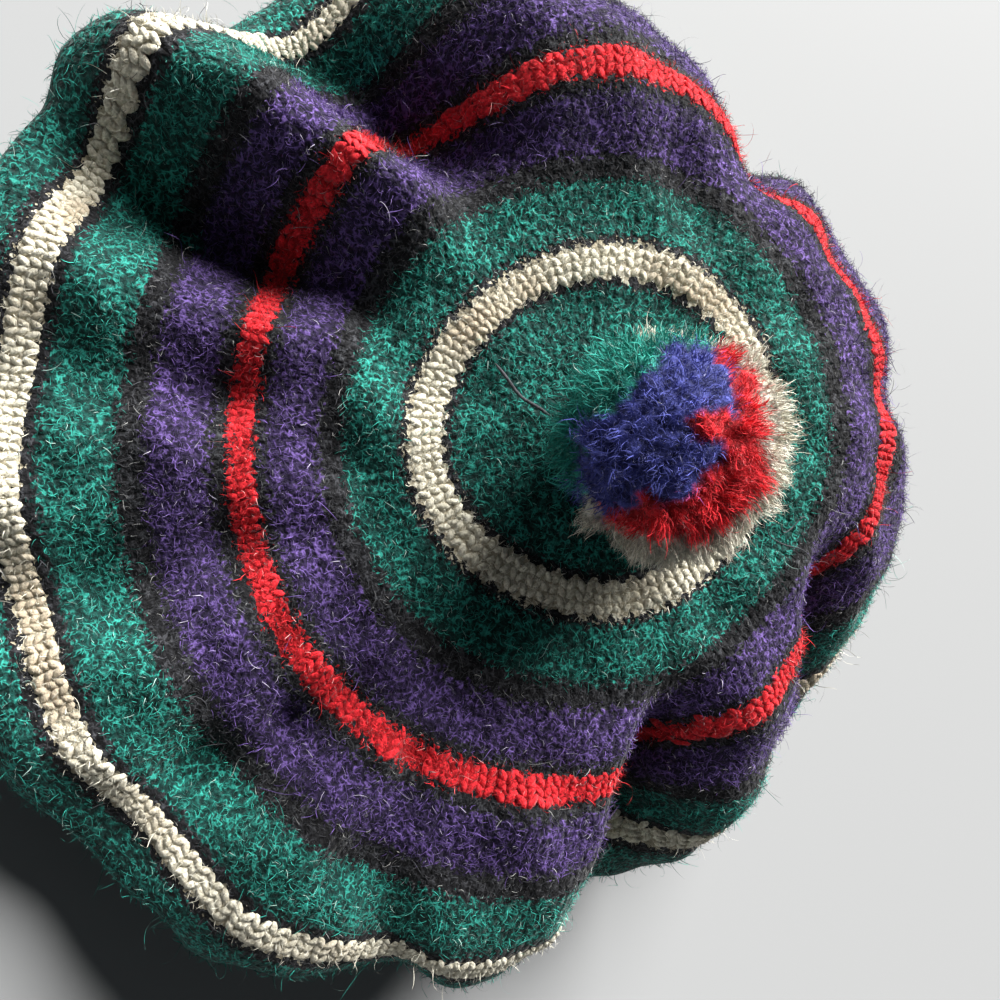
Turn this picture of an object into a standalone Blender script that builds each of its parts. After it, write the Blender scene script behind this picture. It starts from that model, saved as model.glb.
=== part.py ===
"""Tam o shanter: a fulled, striped wool hat with a pompom, resting on its headband.

Lengths are in metres and +Z is up.  The origin lies on the resting surface,
below the middle of the hat's outline.  The crown slouches towards -Y, the near
side.  A bearing is an angle in degrees round the crown's middle: 0 is the far
side, +Y, and it grows anticlockwise seen from above, so 90 is -X.
"""

import math
from typing import NamedTuple

import bmesh
import bpy
import numpy as np

# Headband: a ribbed tube that stands on its flat bottom edge
BAND_INNER_RADIUS = 0.078
BAND_WALL = 0.0030
BAND_HEIGHT = 0.028
BAND_EDGE_ROUND = 0.0006
RIB_COUNT = 60
RIB_DEPTH = 0.0009

# Crown: one wall of fulled knitting, its radius measured along the cloth
CROWN_RADIUS = 0.140
CROWN_WALL = 0.0028
CROWN_RISE = 0.044
CROWN_TILT = 22.0
SLOUCH = 0.011
SEAT_OVERHANG = 0.0006
GAP = 0.0003

# Pompom: a ball of wool ends that flops towards the far side
POMPOM_RADIUS = 0.0235
POMPOM_SINK = 0.0030
POMPOM_FLOP = 0.0110
POMPOM_SIDE = 0.0085
POMPOM_NECK = 0.0030
POMPOM_GAP = 0.0004
LOCK_COUNT = 44
LOCK_DEPTH = 0.0026
CREASE_SHARPNESS = 4.0
NECK_POWER = 4
BALL_DIVISIONS = 4

# The crown is flat, but for its tilt, out to the flat share.  The profile table
# gives the fall of the cloth at the stations.  Both are distances along the
# cloth, as shares of the crown's radius.
STATIONS = (0.41, 0.54, 0.66, 0.82, 1.00, 1.12)
FLAT_SHARE = 0.29


class Section(NamedTuple):
    """Fall of the cloth below level, in degrees, at each station of one bearing."""

    bearing: float
    shoulder: float
    inner: float
    middle: float
    outer: float
    rim: float
    turn: float


SECTIONS = (
    Section(0, -8, 18, 44, 70, 84, 138),
    Section(30, -8, 16, 44, 70, 84, 138),
    Section(60, -4, 12, 46, 72, 84, 138),
    Section(90, 0, 4, 26, 58, 84, 140),
    Section(120, 8, 6, 3, 14, 82, 148),
    Section(150, 16, 16, 12, 12, 56, 148),
    Section(180, 20, 17, 14, 14, 46, 148),
    Section(210, 16, 16, 12, 17, 62, 148),
    Section(240, 8, 8, 10, 24, 86, 144),
    Section(270, 0, 8, 24, 50, 80, 140),
    Section(300, 2, 22, 44, 54, 76, 138),
    Section(330, -4, 18, 40, 56, 78, 138),
)


class Fold(NamedTuple):
    """One lobe or valley of the crown.

    The bearing holds at SWEEP_SHARE, and sweep is how many degrees it turns
    over one crown radius.  Depth is a share of the crown's radius, out of the
    cloth where positive.  Lean pushes the cloth sideways by a share of the
    depth, so that one flank overhangs.  The fold grows from start to full,
    both shares of the crown's radius, and keeps a share of itself at the rim.
    """

    bearing: float
    sweep: float
    width: float
    depth: float
    lean: float
    start: float
    full: float
    rim: float


# Where the mesh columns start to follow the folds, where a fold's bearing
# holds, and where a fold starts to fade towards the rim
SWEEP_START = 0.40
SWEEP_SHARE = 0.71
RIM_START = 0.76
FOLDS = (
    Fold(23, 0, 6, -0.020, 0.0, 0.46, 0.60, 1.0),
    Fold(45, 0, 7, -0.085, 0.0, 0.44, 0.63, 0.6),
    Fold(78, 0, 20, 0.065, 0.0, 0.37, 0.56, 0.7),
    Fold(109, 28, 11, -0.143, 0.0, 0.37, 0.61, 0.6),
    Fold(127, 17, 8, 0.043, 0.0, 0.36, 0.53, 0.5),
    Fold(138, 0, 8, -0.086, 0.0, 0.43, 0.60, 0.4),
    Fold(161, 0, 6, -0.029, 0.0, 0.44, 0.60, 1.0),
    Fold(186, 0, 7, -0.036, 0.0, 0.47, 0.64, 1.0),
    Fold(214, -17, 6, -0.050, 0.0, 0.53, 0.67, 0.5),
    Fold(224, 0, 5, 0.020, 0.0, 0.52, 0.64, 1.0),
    Fold(234, 28, 5, -0.045, 0.0, 0.60, 0.79, 0.8),
    Fold(272, -17, 8, -0.186, 0.4, 0.39, 0.60, 0.45),
    Fold(306, -56, 9, -0.171, 0.2, 0.39, 0.57, 0.45),
    Fold(356, 0, 6, -0.020, 0.0, 0.46, 0.60, 1.0),
)

# Underside: the curve's handles at the rim and at the headband, as shares of
# the way between the two, and the slope that it arrives with
UNDER_RIM_HANDLE = 0.32
UNDER_BAND_HANDLE = 0.45
UNDER_BAND_SLOPE = 27.0

# Mesh rows of the crown's outer skin, as shares of its radius, and of its
# underside, as shares of that curve
TOP_ROWS = (0.06, 0.13, 0.21, 0.29, 0.35, 0.39, 0.43, 0.47, 0.51, 0.55, 0.59,
            0.64, 0.69, 0.74, 0.79, 0.84, 0.89, 0.94, 0.99, 1.03, 1.07, 1.12)
UNDER_ROWS = (0.20, 0.40, 0.60, 0.80)

# Rows of the outer skin that the inner skin follows, all of them round the rim
INNER_ROWS = (1, 3, 5, 7, 9, 11, 13, 15, 16, 17, 18, 19, 20, 21, 22, 24, 26, 27)

# Steps in which the profile is summed, the spacing of its bearings in degrees,
# and how many table rows are repeated past each end to close the circle
FINE_STEPS = 160
FINE_BEARING = 1.0
WRAP_ROWS = 3


class Span(NamedTuple):
    """A stretch of bearings with evenly spaced mesh columns."""

    start: float
    stop: float
    columns: int


SPANS = (
    Span(0, 30, 6),
    Span(30, 60, 9),
    Span(60, 150, 24),
    Span(150, 240, 21),
    Span(240, 330, 30),
    Span(330, 360, 6),
)


class Finish(NamedTuple):
    """Principled BSDF values of one piece."""

    name: str
    colour: tuple
    roughness: float
    metallic: float


CROWN_FINISH = Finish("fulled wool green", (0.010, 0.150, 0.110, 1.0), 0.95, 0.0)
BAND_FINISH = Finish("ribbed wool charcoal", (0.012, 0.014, 0.018, 1.0), 0.95, 0.0)
POMPOM_FINISH = Finish("pompom wool blue violet", (0.045, 0.040, 0.230, 1.0), 0.95, 0.0)


def clear_scene():
    """Remove what the scene holds before the hat is modelled."""
    for item in list(bpy.data.objects):
        bpy.data.objects.remove(item, do_unlink=True)


def smooth_step(low, high, value):
    """Ease from 0 at low to 1 at high."""
    share = np.clip((value - low) / (high - low), 0.0, 1.0)
    return share * share * (3.0 - 2.0 * share)


def smooth_rows(places, row_places, rows):
    """Read smooth values between table rows, one column of values at a time."""
    row_places = np.asarray(row_places, dtype=float)
    rows = np.asarray(rows, dtype=float)
    slopes = np.gradient(rows, row_places, axis=0)
    low = np.clip(np.searchsorted(row_places, places, side="right") - 1, 0, len(row_places) - 2)
    width = (row_places[low + 1] - row_places[low])[:, None]
    t = (places[:, None] - row_places[low][:, None]) / width
    t = np.clip(t, 0.0, 1.0)
    start = (2 * t**3 - 3 * t**2 + 1) * rows[low] + (t**3 - 2 * t**2 + t) * width * slopes[low]
    end = (3 * t**2 - 2 * t**3) * rows[low + 1] + (t**3 - t**2) * width * slopes[low + 1]
    return start + end


def bearing_ways(bearings):
    """Give the outward and the sideways unit vectors of each bearing."""
    angles = np.radians(bearings)
    level = np.zeros_like(angles)
    outward = np.stack([-np.sin(angles), np.cos(angles), level], axis=-1)
    sideways = np.stack([-np.cos(angles), -np.sin(angles), level], axis=-1)
    return outward, sideways


def fall_angles(shares, bearings):
    """Work out the cloth's fall in radians, a row per share, a column per bearing."""
    table = np.array([section[1:] for section in SECTIONS], dtype=float)
    places = np.array([section.bearing for section in SECTIONS], dtype=float)
    wrapped = np.concatenate([places[-WRAP_ROWS:] - 360.0, places, places[:WRAP_ROWS] + 360.0])
    table = np.concatenate([table[-WRAP_ROWS:], table, table[:WRAP_ROWS]])
    falls = smooth_rows(np.mod(bearings, 360.0), wrapped, table)
    tilt = math.tan(math.radians(CROWN_TILT))
    flat = -np.degrees(np.arctan(tilt * np.cos(np.radians(bearings))))[:, None]
    falls = np.hstack([flat, falls]).T
    return np.radians(smooth_rows(np.maximum(shares, FLAT_SHARE), (FLAT_SHARE,) + STATIONS, falls))


def profile_curves(shares, bearings):
    """Read reach, drop and fall of the unfolded cloth for each place of the rows."""
    fine = np.linspace(0.0, STATIONS[-1], FINE_STEPS + 1)
    round_bearings = np.arange(0.0, 360.0, FINE_BEARING)
    angles = fall_angles(fine, round_bearings)
    step = CROWN_RADIUS * STATIONS[-1] / FINE_STEPS
    runs = 0.5 * step * (np.cos(angles[1:]) + np.cos(angles[:-1]))
    falls = 0.5 * step * (np.sin(angles[1:]) + np.sin(angles[:-1]))
    start = np.zeros((1, len(round_bearings)))
    reach = np.vstack([start, np.cumsum(runs, axis=0)])
    drop = np.vstack([start, np.cumsum(falls, axis=0)])
    read = []
    for curve in (reach, drop, angles):
        rows = np.stack([np.interp(shares, fine, column) for column in curve.T], axis=1)
        turned = [np.interp(row_bearings, round_bearings, row, period=360.0)
                  for row_bearings, row in zip(bearings, rows)]
        read.append(np.stack(turned))
    return read


def crown_top(shares, bearings):
    """Place the folded top and sides, from the crown's middle, a row per share.

    Bearings has a row per share too, so that the columns can follow the folds.
    """
    reach, drop, angles = profile_curves(shares, bearings)
    outward, sideways = bearing_ways(bearings)
    up = np.array([0.0, 0.0, 1.0])
    places = reach[..., None] * outward - drop[..., None] * up
    normals = np.sin(angles)[..., None] * outward + np.cos(angles)[..., None] * up
    for fold in FOLDS:
        centre = fold.bearing + fold.sweep * (shares[:, None] - SWEEP_SHARE)
        across = (bearings - centre + 180.0) % 360.0 - 180.0
        growth = smooth_step(fold.start, fold.full, shares[:, None])
        growth = growth * (1.0 - (1.0 - fold.rim) * smooth_step(RIM_START, 1.0, shares[:, None]))
        rise = CROWN_RADIUS * fold.depth * growth * np.exp(-((across / fold.width) ** 2))
        places = places + rise[..., None] * (normals + fold.lean * sideways)
    return places


def band_middle():
    """Place the middle of the headband's top edge, from the crown's middle."""
    return np.array([0.0, -SLOUCH, -CROWN_RISE])


def crown_under(top, parts, bearings):
    """Curve the underside from the last turned row in to the headband's top edge."""
    outward, _ = bearing_ways(bearings)
    rim = top[-1]
    run = top[-1] - top[-2]
    run = run / np.linalg.norm(run, axis=-1, keepdims=True)
    seat = band_middle() + np.array([0.0, 0.0, GAP])
    edge = BAND_INNER_RADIUS + BAND_WALL + SEAT_OVERHANG
    end = seat + edge * outward
    slope = math.radians(UNDER_BAND_SLOPE)
    away = math.cos(slope) * outward - np.array([0.0, 0.0, math.sin(slope)])
    way = np.linalg.norm(rim - end, axis=-1, keepdims=True)
    first = rim + UNDER_RIM_HANDLE * way * run
    second = end + UNDER_BAND_HANDLE * way * away
    t = np.asarray(parts)[:, None, None]
    curve = (1 - t) ** 3 * rim + 3 * (1 - t) ** 2 * t * first + 3 * (1 - t) * t**2 * second + t**3 * end
    lip = seat + (BAND_INNER_RADIUS + SEAT_OVERHANG) * outward
    return np.concatenate([curve, lip[None]])


def column_bearings(shares):
    """Give each row's column bearings: closer where folds are deep, and swept along them."""
    runs = [np.linspace(s.start, s.stop, s.columns, endpoint=False) for s in SPANS]
    columns = np.concatenate(runs)
    folds = sorted(FOLDS)
    sweep = np.interp(columns, [f.bearing for f in folds], [f.sweep for f in folds], period=360.0)
    return columns + sweep * (np.maximum(shares, SWEEP_START)[:, None] - SWEEP_SHARE)


def row_normals(rows):
    """Estimate outward normals of a closed strip of rows."""
    along = np.gradient(rows, axis=0)
    across = np.roll(rows, -1, axis=1) - np.roll(rows, 1, axis=1)
    normals = np.cross(along, across)
    return normals / np.linalg.norm(normals, axis=-1, keepdims=True)


def top_normal():
    """Give the direction that the crown's flat middle faces."""
    tilt = math.radians(CROWN_TILT)
    return np.array([0.0, -math.sin(tilt), math.cos(tilt)])


def crown_skins():
    """Place the crown's outer rows and its inner rows, from the crown's middle."""
    shares = np.array(TOP_ROWS)
    bearings = column_bearings(shares)
    top = crown_top(shares, bearings)
    outer = np.concatenate([top, crown_under(top, UNDER_ROWS + (1.0,), bearings[-1])])
    inner = outer - CROWN_WALL * row_normals(outer)
    return outer, inner[list(INNER_ROWS)]


def hat_place():
    """Find where the crown's middle goes, so that the outline is centred on the origin."""
    outer, _ = crown_skins()
    points = outer.reshape(-1, 3)
    middle = 0.5 * (points.min(axis=0) + points.max(axis=0))
    return np.array([-middle[0], -middle[1], BAND_HEIGHT + CROWN_RISE])


def add_strip(mesh, first, second):
    """Bridge two closed rows of vertices with quads."""
    count = len(first)
    for column in range(count):
        after = (column + 1) % count
        mesh.faces.new((first[column], second[column], second[after], first[after]))


def add_rows(mesh, rows):
    """Add closed rows of vertices, bridge them, and give them back."""
    loops = [[mesh.verts.new(place) for place in row] for row in rows]
    for first, second in zip(loops, loops[1:]):
        add_strip(mesh, first, second)
    return loops


def add_cap(mesh, place, loop, upward):
    """Close a row of vertices with a fan round one point."""
    middle = mesh.verts.new(place)
    count = len(loop)
    for column in range(count):
        after = (column + 1) % count
        corners = (loop[column], loop[after], middle)
        mesh.faces.new(corners if upward else corners[::-1])


def make_finish(finish):
    """Build a piece's own Principled material."""
    material = bpy.data.materials.new(finish.name)
    material.use_nodes = True
    shader = material.node_tree.nodes["Principled BSDF"]
    shader.inputs["Base Color"].default_value = finish.colour
    shader.inputs["Roughness"].default_value = finish.roughness
    shader.inputs["Metallic"].default_value = finish.metallic
    material.diffuse_color = finish.colour
    return material


def make_piece(name, mesh, place, finish):
    """Turn a bmesh into a named, smooth-shaded object at its place."""
    data = bpy.data.meshes.new(name)
    mesh.to_mesh(data)
    mesh.free()
    data.materials.append(make_finish(finish))
    data.shade_smooth()
    piece = bpy.data.objects.new(name, data)
    piece.location = place
    bpy.context.scene.collection.objects.link(piece)
    return piece


def make_crown(place):
    """Model the crown's single hollow wall, open at the headband."""
    outer, inner = crown_skins()
    mesh = bmesh.new()
    outer_loops = add_rows(mesh, outer)
    inner_loops = add_rows(mesh, inner[::-1])
    add_strip(mesh, outer_loops[-1], inner_loops[0])
    add_cap(mesh, (0.0, 0.0, 0.0), outer_loops[0], True)
    add_cap(mesh, -CROWN_WALL * top_normal(), inner_loops[-1], False)
    return make_piece("crown", mesh, place, CROWN_FINISH)


def make_headband(place):
    """Model the ribbed tube, turned upright round its own middle."""
    count = 2 * RIB_COUNT
    angles = 2.0 * math.pi * np.arange(count) / count
    ways = np.stack([-np.sin(angles), np.cos(angles), np.zeros(count)], axis=-1)
    ridge = np.where(np.arange(count) % 2 == 0, 0.0, RIB_DEPTH)
    outer = BAND_INNER_RADIUS + BAND_WALL - ridge
    inner = np.full(count, BAND_INNER_RADIUS)
    profile = (
        (inner, BAND_HEIGHT),
        (outer - BAND_EDGE_ROUND, BAND_HEIGHT),
        (outer, BAND_HEIGHT - BAND_EDGE_ROUND),
        (outer, BAND_EDGE_ROUND),
        (outer - BAND_EDGE_ROUND, 0.0),
        (inner, 0.0),
    )
    up = np.array([0.0, 0.0, 1.0])
    rows = [radius[:, None] * ways + height * up for radius, height in profile]
    mesh = bmesh.new()
    loops = add_rows(mesh, rows)
    add_strip(mesh, loops[-1], loops[0])
    middle = np.asarray(place) + band_middle()
    return make_piece("headband", mesh, (middle[0], middle[1], 0.0), BAND_FINISH)


def lock_ways():
    """Spread the locks' directions evenly over the ball."""
    turn = math.pi * (3.0 - math.sqrt(5.0))
    index = np.arange(LOCK_COUNT)
    height = 1.0 - 2.0 * (index + 0.5) / LOCK_COUNT
    ring = np.sqrt(1.0 - height**2)
    return np.stack([ring * np.cos(turn * index), ring * np.sin(turn * index), height], axis=-1)


def make_pompom(place):
    """Model the pompom: locks fused to one ball, flattened where it lies on the crown."""
    up = top_normal()
    far = np.array([0.0, up[2], -up[1]])
    side = np.array([1.0, 0.0, 0.0])
    middle = (POMPOM_RADIUS - POMPOM_SINK) * up + POMPOM_FLOP * far + POMPOM_SIDE * side
    tie = -middle / np.linalg.norm(middle)
    locks = lock_ways()
    spacing = math.sqrt(4.0 * math.pi / LOCK_COUNT)
    mesh = bmesh.new()
    bmesh.ops.create_icosphere(mesh, subdivisions=BALL_DIVISIONS, radius=1.0)
    for vertex in mesh.verts:
        way = np.array(vertex.co.normalized())
        angles = np.sort(np.arccos(np.clip(locks @ way, -1.0, 1.0)))
        crease = math.exp(-CREASE_SHARPNESS * (angles[1] - angles[0]) / spacing)
        neck = POMPOM_NECK * max(float(way @ tie), 0.0) ** NECK_POWER
        reach = POMPOM_RADIUS - LOCK_DEPTH * crease + neck
        point = middle + reach * way
        height = float(point @ up)
        point = point + max(POMPOM_GAP - height, 0.0) * up
        vertex.co = point
    return make_piece("pompom", mesh, place, POMPOM_FINISH)


def main():
    """Model the whole hat."""
    clear_scene()
    place = hat_place()
    make_headband(place)
    make_crown(place)
    make_pompom(place)


main()
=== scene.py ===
"""Looks of the tam o shanter: fulled wool rings, a ribbed headband and a tufted pompom.

Lengths are in metres, +Z is up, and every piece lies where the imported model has
it.  A bearing is an angle in degrees round the crown's middle: 0 is the far
side, +Y, and it grows anticlockwise seen from above.  Distance is measured
along the cloth from the crown's middle.
"""
import logging
import math
from dataclasses import dataclass, field
from enum import Enum
from typing import Any, NamedTuple, Optional, Sequence, Union

import bmesh
import bpy
import numpy as np
from mathutils import Matrix, Vector, noise


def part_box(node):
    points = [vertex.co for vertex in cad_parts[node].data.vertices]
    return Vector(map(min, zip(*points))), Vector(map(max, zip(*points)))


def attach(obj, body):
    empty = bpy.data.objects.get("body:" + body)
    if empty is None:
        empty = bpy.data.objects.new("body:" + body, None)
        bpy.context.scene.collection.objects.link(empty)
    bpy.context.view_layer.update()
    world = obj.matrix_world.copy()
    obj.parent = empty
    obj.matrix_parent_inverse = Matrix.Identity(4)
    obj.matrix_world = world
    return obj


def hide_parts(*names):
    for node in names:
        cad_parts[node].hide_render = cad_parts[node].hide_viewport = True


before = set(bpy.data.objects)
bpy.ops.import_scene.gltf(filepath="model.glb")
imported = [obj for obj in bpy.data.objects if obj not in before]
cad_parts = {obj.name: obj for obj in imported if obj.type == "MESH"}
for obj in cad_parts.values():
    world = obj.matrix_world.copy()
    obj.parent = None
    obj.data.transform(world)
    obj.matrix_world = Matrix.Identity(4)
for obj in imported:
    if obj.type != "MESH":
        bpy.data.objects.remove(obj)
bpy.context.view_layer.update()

LOG = logging.getLogger("tam")
ROOT = "root"
SEED = 7
MM = 0.001
CLOTH_MAP = "cloth"
ROOT_MAP = "root_place"
TINT = "tint"
CLOTH_SPAN = 0.25


class Yarn(NamedTuple):
    """Linear colours of one wool: painted shade between its fibres, and on the fibres."""

    painted_shade: tuple[float, float, float]
    fibre: tuple[float, float, float]


class Wool(Enum):
    """The wools of the hat."""

    # Each wool's first colour is painted shade, the dark between its fibres; the second is the
    # fibres' own colour.
    GREEN = Yarn((0.001, 0.018, 0.016), (0.036, 0.390, 0.315))
    PURPLE = Yarn((0.007, 0.004, 0.017), (0.170, 0.102, 0.355))
    RED = Yarn((0.220, 0.002, 0.004), (0.920, 0.030, 0.044))
    CREAM = Yarn((0.300, 0.265, 0.190), (0.860, 0.830, 0.700))
    CHARCOAL = Yarn((0.001, 0.001, 0.002), (0.054, 0.056, 0.064))
    BLUE = Yarn((0.004, 0.005, 0.026), (0.120, 0.140, 0.560))


class Ring(NamedTuple):
    """One ring of the crown: the distance of its outer edge in millimetres, and its yarn."""

    edge: float
    wool: Wool


RINGS = (
    Ring(9.0, Wool.CHARCOAL),
    Ring(30.4, Wool.GREEN),
    Ring(33.2, Wool.CHARCOAL),
    Ring(40.2, Wool.CREAM),
    Ring(42.6, Wool.CHARCOAL),
    Ring(54.5, Wool.GREEN),
    Ring(60.3, Wool.CHARCOAL),
    Ring(70.5, Wool.PURPLE),
    Ring(73.8, Wool.CHARCOAL),
    Ring(79.0, Wool.RED),
    Ring(82.2, Wool.CHARCOAL),
    Ring(93.8, Wool.PURPLE),
    Ring(100.0, Wool.CHARCOAL),
    Ring(113.8, Wool.GREEN),
    Ring(116.8, Wool.CHARCOAL),
    Ring(123.4, Wool.CREAM),
    Ring(126.4, Wool.CHARCOAL),
    Ring(250.0, Wool.GREEN),
)


class Drift(NamedTuple):
    """How far the rings have stretched outwards at one bearing, in millimetres."""

    bearing: float
    inner: float
    middle: float
    outer: float


DRIFTS = (
    Drift(0, 0.0, -2.0, 0.0),
    Drift(30, 2.0, -2.5, 0.0),
    Drift(60, 1.0, 1.0, 0.0),
    Drift(90, -1.5, -0.5, 0.5),
    Drift(120, -2.5, 1.0, 1.5),
    Drift(150, 0.0, -1.0, -1.0),
    Drift(180, 2.0, 1.0, 3.0),
    Drift(210, 1.0, 3.5, 6.0),
    Drift(240, 0.0, 3.0, 6.0),
    Drift(270, 1.0, 0.5, -2.0),
    Drift(300, 0.0, -6.0, -2.0),
    Drift(330, 0.0, -3.0, 0.0),
)
DRIFT_STATIONS = (15.0, 37.0, 77.0, 120.0, 165.0)


class Section(NamedTuple):
    """Fall of the cloth below level, in degrees, at each station of one bearing."""

    bearing: float
    shoulder: float
    inner: float
    middle: float
    outer: float
    rim: float
    turn: float


SECTIONS = (
    Section(0, -8, 18, 44, 70, 84, 138),
    Section(30, -8, 16, 44, 70, 84, 138),
    Section(60, -4, 12, 46, 72, 84, 138),
    Section(90, 0, 4, 26, 58, 84, 140),
    Section(120, 8, 6, 3, 14, 82, 148),
    Section(150, 16, 16, 12, 12, 56, 148),
    Section(180, 20, 17, 14, 14, 46, 148),
    Section(210, 16, 16, 12, 17, 62, 148),
    Section(240, 8, 8, 10, 24, 86, 144),
    Section(270, 0, 8, 24, 50, 80, 140),
    Section(300, 2, 22, 44, 54, 76, 138),
    Section(330, -4, 18, 40, 56, 78, 138),
)


class Fold(NamedTuple):
    """One lobe or valley: bearings in degrees, the rest as shares of the crown's radius."""

    bearing: float
    sweep: float
    width: float
    depth: float
    lean: float
    start: float
    full: float
    rim: float


FOLDS = (
    Fold(23, 0, 6, -0.020, 0.0, 0.46, 0.60, 1.0),
    Fold(45, 0, 7, -0.085, 0.0, 0.44, 0.63, 0.6),
    Fold(78, 0, 20, 0.065, 0.0, 0.37, 0.56, 0.7),
    Fold(109, 28, 11, -0.143, 0.0, 0.37, 0.61, 0.6),
    Fold(127, 17, 8, 0.043, 0.0, 0.36, 0.53, 0.5),
    Fold(138, 0, 8, -0.086, 0.0, 0.43, 0.60, 0.4),
    Fold(161, 0, 6, -0.029, 0.0, 0.44, 0.60, 1.0),
    Fold(186, 0, 7, -0.036, 0.0, 0.47, 0.64, 1.0),
    Fold(214, -17, 6, -0.050, 0.0, 0.53, 0.67, 0.5),
    Fold(224, 0, 5, 0.020, 0.0, 0.52, 0.64, 1.0),
    Fold(234, 28, 5, -0.045, 0.0, 0.60, 0.79, 0.8),
    Fold(272, -17, 8, -0.186, 0.4, 0.39, 0.60, 0.45),
    Fold(306, -56, 9, -0.171, 0.2, 0.39, 0.57, 0.45),
    Fold(356, 0, 6, -0.020, 0.0, 0.46, 0.60, 1.0),
)


CREASES = (
    Fold(92, 10, 9, 0.024, 0.0, 0.37, 0.56, 0.7),
    Fold(105, 22, 9, -0.034, 0.0, 0.34, 0.50, 0.6),
    Fold(125, 17, 9, 0.040, 0.0, 0.30, 0.44, 0.5),
    Fold(137, 0, 8, -0.046, 0.0, 0.31, 0.44, 0.4),
    Fold(152, 0, 7, 0.016, 0.0, 0.40, 0.55, 0.6),
    Fold(274, 0, 6, -0.030, 0.0, 0.42, 0.52, 0.6),
    Fold(288, 0, 7, 0.026, 0.0, 0.36, 0.46, 0.6),
)


class Lobe(NamedTuple):
    """A bump or, below zero, a dent of the cloth: bearing in degrees, the rest in millimetres."""

    bearing: float
    distance: float
    width: float
    height: float


LOBES = (
    Lobe(154, 107, 8.5, 3.2),
    Lobe(172, 89, 7.0, 3.2),
    Lobe(171, 109, 7.0, 2.8),
    Lobe(198, 107, 7.5, 3.4),
    Lobe(198, 88, 6.5, 3.2),
    Lobe(222, 95, 6.2, 4.2),
    Lobe(225, 82, 5.0, 2.6),
    Lobe(220, 113, 6.0, 3.4),
    Lobe(152, 71, 5.5, 2.0),
    Lobe(163, 49, 9.0, 1.6),
    Lobe(201, 125, 6.0, 2.0),
    Lobe(237, 102, 7.0, 2.2),
    Lobe(247, 85, 6.5, 1.8),
    Lobe(183, 60, 4.5, 1.3),
    Lobe(185, 118, 11.0, -4.2),
    Lobe(190, 107, 7.0, -1.8),
    Lobe(209, 111, 7.5, -5.6),
    Lobe(188, 98, 5.5, -3.0),
    Lobe(213, 91, 4.5, -3.2),
    Lobe(216, 78, 5.0, -2.0),
    Lobe(228, 107, 5.5, -2.4),
    Lobe(229, 80, 3.2, -2.8),
    Lobe(129, 95, 8.0, 3.2),
    Lobe(138, 97, 7.0, -1.5),
)


class Span(NamedTuple):
    """A stretch of bearings with evenly spaced mesh columns."""

    start: float
    stop: float
    columns: int


SPANS = (
    Span(0, 30, 6),
    Span(30, 60, 9),
    Span(60, 150, 24),
    Span(150, 240, 21),
    Span(240, 330, 30),
    Span(330, 360, 6),
)


def smooth_step(low: float, high: float, value: np.ndarray) -> np.ndarray:
    """Ease from 0 at low to 1 at high.

    Args:
        low: Value up to which the result is 0.
        high: Value from which the result is 1.
        value: Values to ease.

    Returns:
        The eased shares.
    """
    share = np.clip((value - low) / (high - low), 0.0, 1.0)
    return share * share * (3.0 - 2.0 * share)


def smooth_rows(places: np.ndarray, row_places: Sequence[float], rows: np.ndarray) -> np.ndarray:
    """Read smooth values between table rows, one column of values at a time.

    Args:
        places: Where to read.
        row_places: Place of each table row, growing.
        rows: The table, a row per place.

    Returns:
        A row of values for each place read.
    """
    row_places = np.asarray(row_places, dtype=float)
    rows = np.asarray(rows, dtype=float)
    slopes = np.gradient(rows, row_places, axis=0)
    low = np.clip(np.searchsorted(row_places, places, side="right") - 1, 0, len(row_places) - 2)
    width = (row_places[low + 1] - row_places[low])[:, None]
    t = np.clip((places[:, None] - row_places[low][:, None]) / width, 0.0, 1.0)
    start = (2 * t**3 - 3 * t**2 + 1) * rows[low] + (t**3 - 2 * t**2 + t) * width * slopes[low]
    end = (3 * t**2 - 2 * t**3) * rows[low + 1] + (t**3 - t**2) * width * slopes[low + 1]
    return start + end


def unit(vectors: np.ndarray) -> np.ndarray:
    """Scale vectors to length 1."""
    return vectors / np.maximum(np.linalg.norm(vectors, axis=-1, keepdims=True), 1e-12)


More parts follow.
